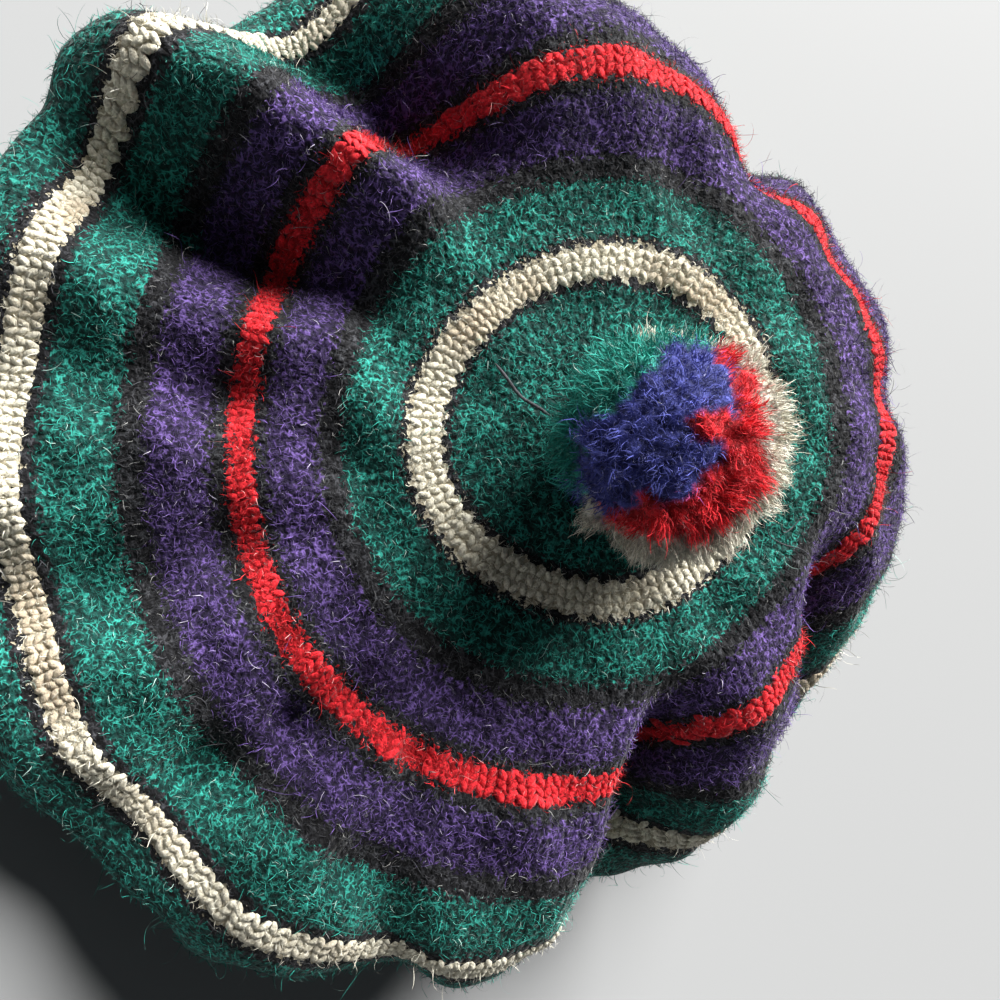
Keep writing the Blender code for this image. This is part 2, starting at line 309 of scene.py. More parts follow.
@dataclass
class CrownForm:
    """The crown's folded surface as a function of distance along the cloth and bearing."""

    radius: float = 0.140
    wall: float = 0.0028
    rise: float = 0.044
    tilt: float = 22.0
    slouch: float = 0.011
    overhang: float = 0.0006
    gap: float = 0.0003
    band_radius: float = 0.078
    band_wall: float = 0.0030
    flat_share: float = 0.29
    stations: tuple[float, ...] = (0.41, 0.54, 0.66, 0.82, 1.00, 1.12)
    sweep_start: float = 0.40
    sweep_share: float = 0.71
    rim_start: float = 0.76
    rim_handle: float = 0.32
    band_handle: float = 0.45
    band_slope: float = 27.0
    fine_steps: int = 160
    wrap_rows: int = 3
    waves: int = 12
    wave_height: float = 0.26 * MM
    shortest_wave: float = 14.0 * MM
    longest_wave: float = 34.0 * MM
    wave_start: float = 0.12
    wave_full: float = 0.50
    wave_least: float = 0.45
    settle_steps: int = 5
    probe_step: float = 0.4 * MM
    probe_turn: float = 0.3

    def __post_init__(self) -> None:
        """Place the crown's middle by the headband, and sum its profile."""
        low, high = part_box("headband")
        middle = 0.5 * (low + high)
        self.middle = np.array([middle.x, middle.y + self.slouch, high.z + self.rise])
        self.fine = np.linspace(0.0, self.stations[-1], self.fine_steps + 1)
        self.bearings = np.arange(360.0)
        angles = self.fall_angles(self.fine, self.bearings)
        step = self.radius * self.stations[-1] / self.fine_steps
        start = np.zeros((1, len(self.bearings)))
        runs = 0.5 * step * (np.cos(angles[1:]) + np.cos(angles[:-1]))
        falls = 0.5 * step * (np.sin(angles[1:]) + np.sin(angles[:-1]))
        reach = np.vstack([start, np.cumsum(runs, axis=0)])
        drop = np.vstack([start, np.cumsum(falls, axis=0)])
        self.curves = (reach, drop, angles)
        draw = np.random.default_rng(SEED)
        headings = draw.uniform(0.0, 2.0 * math.pi, self.waves)
        lengths = draw.uniform(self.shortest_wave, self.longest_wave, self.waves)
        self.wave_ways = np.stack([np.cos(headings), np.sin(headings)]) * (2.0 * math.pi / lengths)
        self.wave_phases = draw.uniform(0.0, 2.0 * math.pi, self.waves)

    def ways(self, bearings: np.ndarray) -> tuple[np.ndarray, np.ndarray]:
        """Give the outward and the sideways unit vectors of each bearing.

        Args:
            bearings: Bearings in degrees.

        Returns:
            The outward and the sideways vectors.
        """
        angles = np.radians(bearings)
        level = np.zeros_like(angles)
        outward = np.stack([-np.sin(angles), np.cos(angles), level], axis=-1)
        sideways = np.stack([-np.cos(angles), -np.sin(angles), level], axis=-1)
        return outward, sideways

    def read_round(self, rows: Sequence[tuple], bearings: np.ndarray) -> np.ndarray:
        """Read a table whose rows go round the crown.

        Args:
            rows: The table, each row starting with its bearing.
            bearings: Bearings in degrees.

        Returns:
            A row of values for each bearing.
        """
        table = np.array(rows, dtype=float)
        count = self.wrap_rows
        places = np.concatenate([table[-count:, 0] - 360.0, table[:, 0], table[:count, 0] + 360.0])
        values = np.concatenate([table[-count:, 1:], table[:, 1:], table[:count, 1:]])
        return smooth_rows(np.mod(bearings, 360.0), places, values)

    def drift(self, distances: np.ndarray, bearings: np.ndarray) -> np.ndarray:
        """Tell how far the rings lie outwards of their even distance.

        Args:
            distances: Distances along the cloth.
            bearings: Bearings in degrees, as many.

        Returns:
            The drifts in metres.
        """
        stations = np.array(DRIFT_STATIONS) * MM
        rises = np.eye(len(stations))[1:-1]
        shares = np.stack([np.interp(distances, stations, rise) for rise in rises], axis=-1)
        drifts = self.read_round(DRIFTS, bearings.ravel()).reshape(shares.shape)
        return (drifts * shares).sum(axis=-1) * MM

    def ring_place(self, distance: float, bearings: np.ndarray) -> np.ndarray:
        """Find where a ring really lies at each bearing.

        Args:
            distance: The ring's even distance.
            bearings: Bearings in degrees.

        Returns:
            Its distances along the cloth.
        """
        found = np.full(len(bearings), distance)
        for _ in range(self.settle_steps):
            found = distance + self.drift(found, bearings)
        return found

    def fall_angles(self, shares: np.ndarray, bearings: np.ndarray) -> np.ndarray:
        """Work out the cloth's fall in radians, a row per share, a column per bearing.

        Args:
            shares: Distances as shares of the crown's radius.
            bearings: Bearings in degrees.

        Returns:
            Fall angles below level.
        """
        falls = self.read_round(SECTIONS, bearings)
        tilt = math.tan(math.radians(self.tilt))
        flat = -np.degrees(np.arctan(tilt * np.cos(np.radians(bearings))))[:, None]
        falls = np.hstack([flat, falls]).T
        stations = (self.flat_share,) + self.stations
        return np.radians(smooth_rows(np.maximum(shares, self.flat_share), stations, falls))

    def top(self, shares: np.ndarray, bearings: np.ndarray) -> np.ndarray:
        """Place the folded top and sides, from the crown's middle.

        Args:
            shares: Distances as shares of the crown's radius, one for each row.
            bearings: Bearings in degrees, a row of them for each share.

        Returns:
            Places, a row for each share.
        """
        read = []
        for curve in self.curves:
            rows = np.stack([np.interp(shares, self.fine, column) for column in curve.T], axis=1)
            turned = [np.interp(row_bearings, self.bearings, row, period=360.0)
                      for row_bearings, row in zip(bearings, rows)]
            read.append(np.stack(turned))
        reach, drop, angles = read
        outward, sideways = self.ways(bearings)
        up = np.array([0.0, 0.0, 1.0])
        places = reach[..., None] * outward - drop[..., None] * up
        normals = np.sin(angles)[..., None] * outward + np.cos(angles)[..., None] * up
        for fold in FOLDS + CREASES:
            centre = fold.bearing + fold.sweep * (shares[:, None] - self.sweep_share)
            across = (bearings - centre + 180.0) % 360.0 - 180.0
            growth = smooth_step(fold.start, fold.full, shares[:, None])
            fading = smooth_step(self.rim_start, 1.0, shares[:, None])
            growth = growth * (1.0 - (1.0 - fold.rim) * fading)
            rise = self.radius * fold.depth * growth * np.exp(-((across / fold.width) ** 2))
            places = places + rise[..., None] * (normals + fold.lean * sideways)
        level = self.radius * shares[:, None, None] * outward[..., :2]
        waves = np.sin(level @ self.wave_ways + self.wave_phases).sum(axis=-1)
        growth = smooth_step(self.wave_start, self.wave_full, shares[:, None])
        growth = growth * (1.0 - self.wave_least) + self.wave_least
        rise = self.wave_height * growth * waves
        for lobe in LOBES:
            middle = lobe.distance * MM * self.ways(np.array(lobe.bearing))[0][:2]
            away = np.linalg.norm(level - middle, axis=-1) / (lobe.width * MM)
            rise = rise + lobe.height * MM * np.exp(-(away**2))
        return places + rise[..., None] * normals

    def under(self, top: np.ndarray, parts: Sequence[float], bearings: np.ndarray) -> np.ndarray:
        """Curve the underside from the last turned row in to the headband's top edge.

        Args:
            top: Rows of the top; the last two are read.
            parts: Shares of the way in, one for each row wanted.
            bearings: Bearings of the columns.

        Returns:
            Rows of the underside, and the lip as the last one.
        """
        outward, _ = self.ways(bearings)
        rim = top[-1]
        run = unit(top[-1] - top[-2])
        seat = np.array([0.0, -self.slouch, self.gap - self.rise])
        end = seat + (self.band_radius + self.band_wall + self.overhang) * outward
        slope = math.radians(self.band_slope)
        away = math.cos(slope) * outward - np.array([0.0, 0.0, math.sin(slope)])
        way = np.linalg.norm(rim - end, axis=-1, keepdims=True)
        first = rim + self.rim_handle * way * run
        second = end + self.band_handle * way * away
        t = np.asarray(parts)[:, None, None]
        curve = ((1 - t) ** 3 * rim + 3 * (1 - t) ** 2 * t * first
                 + 3 * (1 - t) * t**2 * second + t**3 * end)
        lip = seat + (self.band_radius + self.overhang) * outward
        return np.concatenate([curve, lip[None]])

    def columns(self, shares: np.ndarray, finer: int = 1) -> np.ndarray:
        """Give each row's column bearings, swept along the folds.

        Args:
            shares: Distances as shares of the crown's radius.
            finer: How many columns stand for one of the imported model's.

        Returns:
            Bearings, a row for each share.
        """
        runs = [np.linspace(span.start, span.stop, span.columns * finer, endpoint=False)
                for span in SPANS]
        columns = np.concatenate(runs)
        folds = sorted(FOLDS)
        bearings, sweeps = [fold.bearing for fold in folds], [fold.sweep for fold in folds]
        sweep = np.interp(columns, bearings, sweeps, period=360.0)
        return columns + sweep * (np.maximum(shares, self.sweep_start)[:, None] - self.sweep_share)

    def surface(self, distances: np.ndarray, bearings: np.ndarray) -> tuple[np.ndarray, ...]:
        """Read places and directions of the outer surface.

        Args:
            distances: Distances along the cloth.
            bearings: Bearings in degrees, as many.

        Returns:
            Places, unit normals, and unit vectors away from the crown's middle.
        """
        step, turn = self.probe_step, self.probe_turn
        share, nudge = distances / self.radius, step / self.radius
        shares = np.concatenate([share, share - nudge, share + nudge, share, share])
        turned = np.concatenate([bearings, bearings, bearings, bearings - turn, bearings + turn])
        places = self.top(shares, turned[:, None]).reshape(5, -1, 3)
        along = unit(places[2] - places[1])
        normals = unit(np.cross(along, places[4] - places[3]))
        return self.middle + places[0], normals, along

    def top_normal(self) -> np.ndarray:
        """Give the direction that the crown's flat middle faces."""
        tilt = math.radians(self.tilt)
        return np.array([0.0, -math.sin(tilt), math.cos(tilt)])

    def disc_ways(self) -> tuple[np.ndarray, np.ndarray, np.ndarray]:
        """Give the flat middle's sideways, far and facing directions."""
        facing = self.top_normal()
        return np.array([1.0, 0.0, 0.0]), np.array([0.0, facing[2], -facing[1]]), facing


Value = Union["Signal", bpy.types.NodeSocket, float, int, bool, str, tuple]


class Signal:
    """A number that a node gives out, so that maths reads as an expression."""

    def __init__(self, graph: "Graph", socket: bpy.types.NodeSocket) -> None:
        """Keep the graph and the socket."""
        self.graph = graph
        self.socket = socket

    def maths(self, operation: str, *others: Value) -> "Signal":
        """Add a Math node on this number and others."""
        inputs = dict(enumerate((self,) + others))
        return self.graph.signal("ShaderNodeMath", {"operation": operation}, inputs)

    def __add__(self, other: Value) -> "Signal":
        """Add."""
        return self.maths("ADD", other)

    def __mul__(self, other: Value) -> "Signal":
        """Multiply."""
        return self.maths("MULTIPLY", other)

    def __sub__(self, other: Value) -> "Signal":
        """Subtract."""
        return self.maths("SUBTRACT", other)

    def __truediv__(self, other: Value) -> "Signal":
        """Divide."""
        return self.maths("DIVIDE", other)

    def __pow__(self, other: Value) -> "Signal":
        """Raise to a power."""
        return self.maths("POWER", other)

    def __rsub__(self, other: float) -> "Signal":
        """Subtract this number from a plain one."""
        inputs = {0: other, 1: self}
        return self.graph.signal("ShaderNodeMath", {"operation": "SUBTRACT"}, inputs)

    __radd__ = __add__
    __rmul__ = __mul__

    def floor(self) -> "Signal":
        """Round down."""
        return self.maths("FLOOR")

    def fraction(self) -> "Signal":
        """Keep what is past the whole number."""
        return self.maths("FRACT")

    def size(self) -> "Signal":
        """Drop the sign."""
        return self.maths("ABSOLUTE")

    def between(self, low: float, high: float) -> "Signal":
        """Ease from 0 at low to 1 at high."""
        inputs = {"Value": self, "From Min": low, "From Max": high}
        return self.graph.signal("ShaderNodeMapRange", {"interpolation_type": "SMOOTHSTEP"}, inputs)


class Graph:
    """A shader or Geometry Nodes tree that is built node by node."""

    def __init__(self, tree: bpy.types.NodeTree) -> None:
        """Keep the tree."""
        self.tree = tree

    def node(self, kind: str, settings: Optional[dict] = None,
             inputs: Optional[dict] = None) -> bpy.types.Node:
        """Add a node.

        Args:
            kind: The node's type.
            settings: Its own settings, set first; stops are a ramp's colours.
            inputs: Values or links of its sockets, by name or number.

        Returns:
            The node.
        """
        node = self.tree.nodes.new(kind)
        for name, value in (settings or {}).items():
            if name == "stops":
                self.set_stops(node.color_ramp, value)
            else:
                setattr(node, name, value)
        for key, value in (inputs or {}).items():
            socket = node.inputs[key]
            if isinstance(value, Signal):
                value = value.socket
            if isinstance(value, bpy.types.NodeSocket):
                self.tree.links.new(value, socket)
            else:
                socket.default_value = value
        return node

    def set_stops(self, ramp: bpy.types.ColorRamp, stops: Sequence[tuple]) -> None:
        """Write a ramp's stops, each a place and a colour."""
        while len(ramp.elements) > 1:
            ramp.elements.remove(ramp.elements[-1])
        for number, (place, colour) in enumerate(stops):
            element = ramp.elements[0] if number == 0 else ramp.elements.new(place)
            element.position = place
            element.color = (*colour, 1.0)

    def signal(self, kind: str, settings: Optional[dict] = None, inputs: Optional[dict] = None,
               output: Union[str, int] = 0) -> Signal:
        """Add a node and take one of its numbers.

        Args:
            kind: The node's type.
            settings: Its own settings.
            inputs: Values or links of its sockets.
            output: The socket to read.

        Returns:
            The number.
        """
        return Signal(self, self.node(kind, settings, inputs).outputs[output])

    def mix(self, share: Value, first: Value, second: Value,
            blend: str = "MIX") -> bpy.types.NodeSocket:
        """Mix two colours.

        Args:
            share: How much of the second colour is used.
            first: The first colour.
            second: The second colour.
            blend: How they are blended.

        Returns:
            The mixed colour's socket.
        """
        settings = {"data_type": "RGBA", "blend_type": blend}
        return self.node("ShaderNodeMix", settings, {0: share, 6: first, 7: second}).outputs[2]


def rgba(colour: Sequence[float], strength: float = 1.0) -> tuple[float, float, float, float]:
    """Scale a colour and give it an alpha of 1."""
    return (colour[0] * strength, colour[1] * strength, colour[2] * strength, 1.0)


@dataclass(frozen=True)
class Knit:
    """Size of the knitting, in metres, and how far a V reaches into its neighbours."""

    stitch: float = 0.0038
    round: float = 0.00285
    nest: float = 0.75
    leg_start: float = 0.15
    leg_run: float = 0.70
    leg_width: float = 0.62


class Web(NamedTuple):
    """A web of curly fibres: noise cells for each metre, a shift, and half a fibre's width."""

    scale: float
    offset: float
    width: float


FINE_WEB = Web(640.0, 0.31, 0.070)
COARSE_WEB = Web(400.0, 0.77, 0.045)
YARN_WEB = Web(560.0, 0.31, 0.080)
BREAK_SCALE = 0.83
BREAK_EDGES = (0.42, 0.60)


@dataclass(frozen=True)
class WoolFinish:
    """A wool surface under soft light, with its relief."""

    name: str
    roughness: float = 0.85
    sheen: float = 0.10
    sheen_roughness: float = 0.45
    relief: float = 0.9 * MM
    relief_strength: float = 0.9
    shine: float = 0.2

    def start(self) -> tuple[bpy.types.Material, Graph]:
        """Make an empty material.

        Returns:
            The material and its graph.
        """
        material = bpy.data.materials.new(self.name)
        material.use_nodes = True
        material.node_tree.nodes.clear()
        return material, Graph(material.node_tree)

    def finish(self, graph: Graph, colour: Value, height: Optional[Signal] = None) -> None:
        """Close a material with its shader.

        Args:
            graph: The material's graph.
            colour: The surface colour.
            height: The relief, if there is one.
        """
        inputs = {
            "Base Color": colour,
            "Roughness": self.roughness,
            "Specular IOR Level": self.shine,
            "Sheen Weight": self.sheen,
            "Sheen Roughness": self.sheen_roughness,
        }
        if height is not None:
            relief = {"Strength": self.relief_strength, "Distance": self.relief, "Height": height}
            inputs["Normal"] = graph.node("ShaderNodeBump", None, relief).outputs[0]
        shader = graph.node("ShaderNodeBsdfPrincipled", None, inputs)
        graph.node("ShaderNodeOutputMaterial", None, {"Surface": shader.outputs[0]})

    def ring_colour(self, graph: Graph, distance: Signal, part: str) -> bpy.types.NodeSocket:
        """Look up the ring's colour by distance.

        Args:
            graph: The material's graph.
            distance: Distance along the cloth, in metres.
            part: Which of the yarn's colours is wanted, painted_shade (painted shade between
                fibres) or fibre.

        Returns:
            The colour's socket.
        """
        stops = []
        start = 0.0
        for ring in RINGS:
            stops.append((start * MM / CLOTH_SPAN, getattr(ring.wool.value, part)))
            start = ring.edge
        ramp = graph.node("ShaderNodeValToRGB", {"stops": stops}, {0: distance / CLOTH_SPAN})
        ramp.color_ramp.interpolation = "CONSTANT"
        return ramp.outputs[0]

    def cloud(self, graph: Graph, scale: float, detail: float = 2.0) -> Signal:
        """Read a soft noise, in cells for each metre."""
        place = graph.node("ShaderNodeTexCoord").outputs["Object"]
        inputs = {"Vector": place, "Scale": scale, "Detail": detail}
        return graph.signal("ShaderNodeTexNoise", {"noise_dimensions": "3D"}, inputs)

    def fibre_web(self, graph: Graph, web: Web) -> Signal:
        """Draw short curly fibres as broken level lines of a noise.

        Args:
            graph: The material's graph.
            web: The web's size.

        Returns:
            1 on a fibre and 0 between fibres.
        """
        place = graph.node("ShaderNodeTexCoord").outputs["Object"]
        shift = {0: place, 1: (web.offset, web.offset, web.offset)}
        moved = graph.node("ShaderNodeVectorMath", {"operation": "ADD"}, shift).outputs[0]
        settings = {"noise_dimensions": "3D"}
        inputs = {"Vector": moved, "Scale": web.scale, "Detail": 1.0, "Roughness": 0.5}
        level = graph.signal("ShaderNodeTexNoise", settings, inputs)
        breaks = {"Vector": moved, "Scale": web.scale * BREAK_SCALE, "Detail": 0.0}
        shown = graph.signal("ShaderNodeTexNoise", settings, breaks).between(*BREAK_EDGES)
        return (1.0 - (level - 0.5).size().between(0.0, web.width)) * shown


@dataclass(frozen=True)
class ClothFinish(WoolFinish):
    """The crown's cloth: rings of V stitches, fulled until fibres cover most of them."""

    knit: Knit = field(default_factory=Knit)
    clear_rings: tuple[tuple[float, float], ...] = ((33.2, 40.2), (116.8, 123.4))
    clear_edge: float = 2.0
    felted_scatter: float = 9.0 * MM
    clear_scatter: float = 2.0 * MM
    stray_scale: float = 900.0
    patch_scale: float = 70.0
    patch_least: float = 0.35
    middle_edges: tuple[float, float] = (22.0, 34.0)
    rib_shade: float = 0.45
    web_light: float = 0.85
    stray_light: float = 0.22
    leg_relief: float = 0.30
    stray_relief: float = 0.9

    def clear_share(self, graph: Graph, distance: Signal) -> Signal:
        """Tell the cream rings, whose stitches stay clear, from the felted ones."""
        shares = []
        for low, high in self.clear_rings:
            rise = distance.between((low - self.clear_edge) * MM, low * MM)
            shares.append(rise - distance.between(high * MM, (high + self.clear_edge) * MM))
        return shares[0] + shares[1]

    def make(self) -> bpy.types.Material:
        """Build the material.

        Returns:
            The material.
        """
        material, graph = self.start()
        place = graph.node("ShaderNodeUVMap", {"uv_map": CLOTH_MAP}).outputs[0]
        parts = graph.node("ShaderNodeSeparateXYZ", None, {0: place})
        turn = Signal(graph, parts.outputs[0])
        distance = Signal(graph, parts.outputs[1]) * CLOTH_SPAN
        rounds = distance / self.knit.round
        number = rounds.floor()
        turns_each = 2.0 * math.pi * self.knit.round / self.knit.stitch
        count = ((number + 0.5) * turns_each + 0.5).floor()
        across = ((turn * count).fraction() - 0.5).size() * 2.0
        run = self.knit.leg_start + self.knit.leg_run * rounds.fraction()
        leg = 1.0 - ((across - run) / self.knit.leg_width) ** 2.0
        clear = self.clear_share(graph, distance)
        stray = self.cloud(graph, self.stray_scale)
        scatter = clear * (self.clear_scatter - self.felted_scatter) + self.felted_scatter
        nested = (0.5 - across) * clear * (self.knit.nest * self.knit.round)
        edge = distance + nested + (stray - 0.5) * scatter
        web = self.fibre_web(graph, FINE_WEB).maths("MAXIMUM", self.fibre_web(graph, COARSE_WEB))
        patches = self.cloud(graph, self.patch_scale, 1.0) + self.patch_least
        # Painted shade in the grooves between stitch legs: darker between the legs of the clear
        # rings' Vs, and near the middle between the legs of the felted cloth.
        middle = 1.0 - distance.between(self.middle_edges[0] * MM, self.middle_edges[1] * MM)
        ribs = (1.0 - leg.between(0.1, 0.7)) * middle * self.rib_shade
        groove_shading = 0.62 + leg * 0.38 * clear + (1.0 - clear) * 0.30 - ribs
        fibres = web * self.web_light + stray.between(0.40, 0.75) * self.stray_light
        # Painted shade: the ring's dark colour between the fibres, mixed with the fibres' own
        # colour along the web.
        painted_shade, fibre = (self.ring_colour(graph, edge, part) for part in ("painted_shade", "fibre"))
        colour = graph.mix(fibres * patches * groove_shading, painted_shade, fibre)
        self.finish(graph, colour, leg * self.leg_relief + stray * self.stray_relief)
        return material


@dataclass(frozen=True)
class YarnFinish(WoolFinish):
    """Spun yarn of one wool, with fine fibres along it."""

    wool: Wool = Wool.CREAM
    brightness: float = 0.75
    relief: float = 0.35 * MM
    painted_tan_shade: tuple[float, float, float] = (0.50, 0.37, 0.25)
    tan_shade_share: float = 0.0
    tan_shade_scale: float = 26.0
    stray_scale: float = 1500.0
    web_light: float = 0.35
    stray_light: float = 0.60
    middle_light: float = 0.45

    def make(self) -> bpy.types.Material:
        """Build the material.

        Returns:
            The material.
        """
        material, graph = self.start()
        yarn = self.wool.value
        web = self.fibre_web(graph, YARN_WEB)
        stray = self.cloud(graph, self.stray_scale, 3.0)
        fibres = web * self.web_light + stray.between(0.25, 0.75) * self.stray_light
        light = fibres + (self.brightness - self.middle_light)
        # Painted shade: a soft cloud of tan patches mixed into the fibres' colour.
        painted_tan_shade = self.cloud(graph, self.tan_shade_scale).between(0.48, 0.66) * self.tan_shade_share
        fibre = graph.mix(painted_tan_shade, rgba(yarn.fibre), rgba(self.painted_tan_shade))
        # Painted shade between the yarn's fibres, mixed with the fibres' own colour.
        self.finish(graph, graph.mix(light, rgba(yarn.painted_shade), fibre), stray)
        return material


@dataclass(frozen=True)
class TintFinish(WoolFinish):
    """A ball's ground between its strands, in their colours but darkened as painted shade between
    the strands.
    """

    least: float = 0.22
    most: float = 0.85
    cloud_scale: float = 520.0

    def make(self) -> bpy.types.Material:
        """Build the material.

        Returns:
            The material.
        """
        material, graph = self.start()
        tint = graph.node("ShaderNodeAttribute", {"attribute_name": TINT}).outputs["Color"]
        cloud = self.cloud(graph, self.cloud_scale, 3.0)
        # Painted shade: the ground keeps only a cloud-varied share of its tint.
        share = cloud.between(0.35, 0.70) * (self.most - self.least) + self.least
        grey = graph.node("ShaderNodeCombineXYZ", None, {0: share, 1: share, 2: share})
        self.finish(graph, graph.mix(1.0, tint, grey.outputs[0], "MULTIPLY"), cloud)
        return material


@dataclass(frozen=True)
class FibreFinish(WoolFinish):
    """Loose fibres, each in the colour of the wool that it grows from."""

    least: float = 0.26
    pale: tuple[float, float, float] = (0.62, 0.62, 0.60)
    glint_share: float = 0.13
    glint_mix: float = 0.50
    scatter: float = 3.5 * MM
    place_draws: float = 7.0
    light_draws: float = 13.0
    light_power: float = 1.3

    def make(self) -> bpy.types.Material:
        """Build the material for fibres of the crown, coloured by ring.

        Returns:
            The material.
        """
        material, graph = self.start()
        place = graph.node("ShaderNodeAttribute", {"attribute_name": ROOT_MAP}).outputs["Vector"]
        parts = graph.node("ShaderNodeSeparateXYZ", None, {0: place})
        distance = Signal(graph, parts.outputs[1]) * CLOTH_SPAN
        tone = Signal(graph, parts.outputs[2])
        shifted = distance + ((tone * self.place_draws).fraction() - 0.5) * self.scatter
        self.vary(graph, self.ring_colour(graph, shifted, "fibre"), tone)
        return material

    def tinted(self) -> bpy.types.Material:
        """Build the material for fibres that carry their own colour.

        Returns:
            The material.
        """
        material, graph = self.start()
        place = graph.node("ShaderNodeAttribute", {"attribute_name": ROOT_MAP}).outputs["Vector"]
        parts = graph.node("ShaderNodeSeparateXYZ", None, {0: place})
        tint = graph.node("ShaderNodeAttribute", {"attribute_name": TINT}).outputs["Color"]
        self.vary(graph, tint, Signal(graph, parts.outputs[2]))
        return material

    def vary(self, graph: Graph, colour: Value, tone: Signal) -> None:
        """Vary each fibre's brightness, paint a pale glint on a few of them, and close the
        material.

        Args:
            graph: The material's graph.
            colour: The wool's colour.
            tone: A random number for each fibre.
        """
        drawn = (tone * self.light_draws).fraction() ** self.light_power
        strength = drawn * (1.0 - self.least) + self.least
        grey = graph.node("ShaderNodeCombineXYZ", None, {0: strength, 1: strength, 2: strength})
        varied = graph.mix(1.0, colour, grey.outputs[0], "MULTIPLY")
        # Painted highlight: a few fibres mixed towards pale grey, as glints of light on them.
        pale = (tone - (1.0 - self.glint_share)).between(0.0, self.glint_share)
        self.finish(graph, graph.mix(pale * self.glint_mix, varied, rgba(self.pale)))


class Choice(NamedTuple):
    """A named input of a Geometry Nodes tree."""

    name: str
    kind: str


GROW_INPUTS = (
    Choice("Density", "NodeSocketFloat"),
    Choice("Shortest", "NodeSocketFloat"),
    Choice("Longest", "NodeSocketFloat"),
    Choice("Least Lean", "NodeSocketFloat"),
    Choice("Most Lean", "NodeSocketFloat"),
    Choice("Seed", "NodeSocketInt"),
    Choice("Shapes", "NodeSocketObject"),
    Choice("Finish", "NodeSocketMaterial"),
)
SET_INPUTS = (
    Choice("Shape", "NodeSocketObject"),
    Choice("Finish", "NodeSocketMaterial"),
)
MOST_DRAWN = 997.0


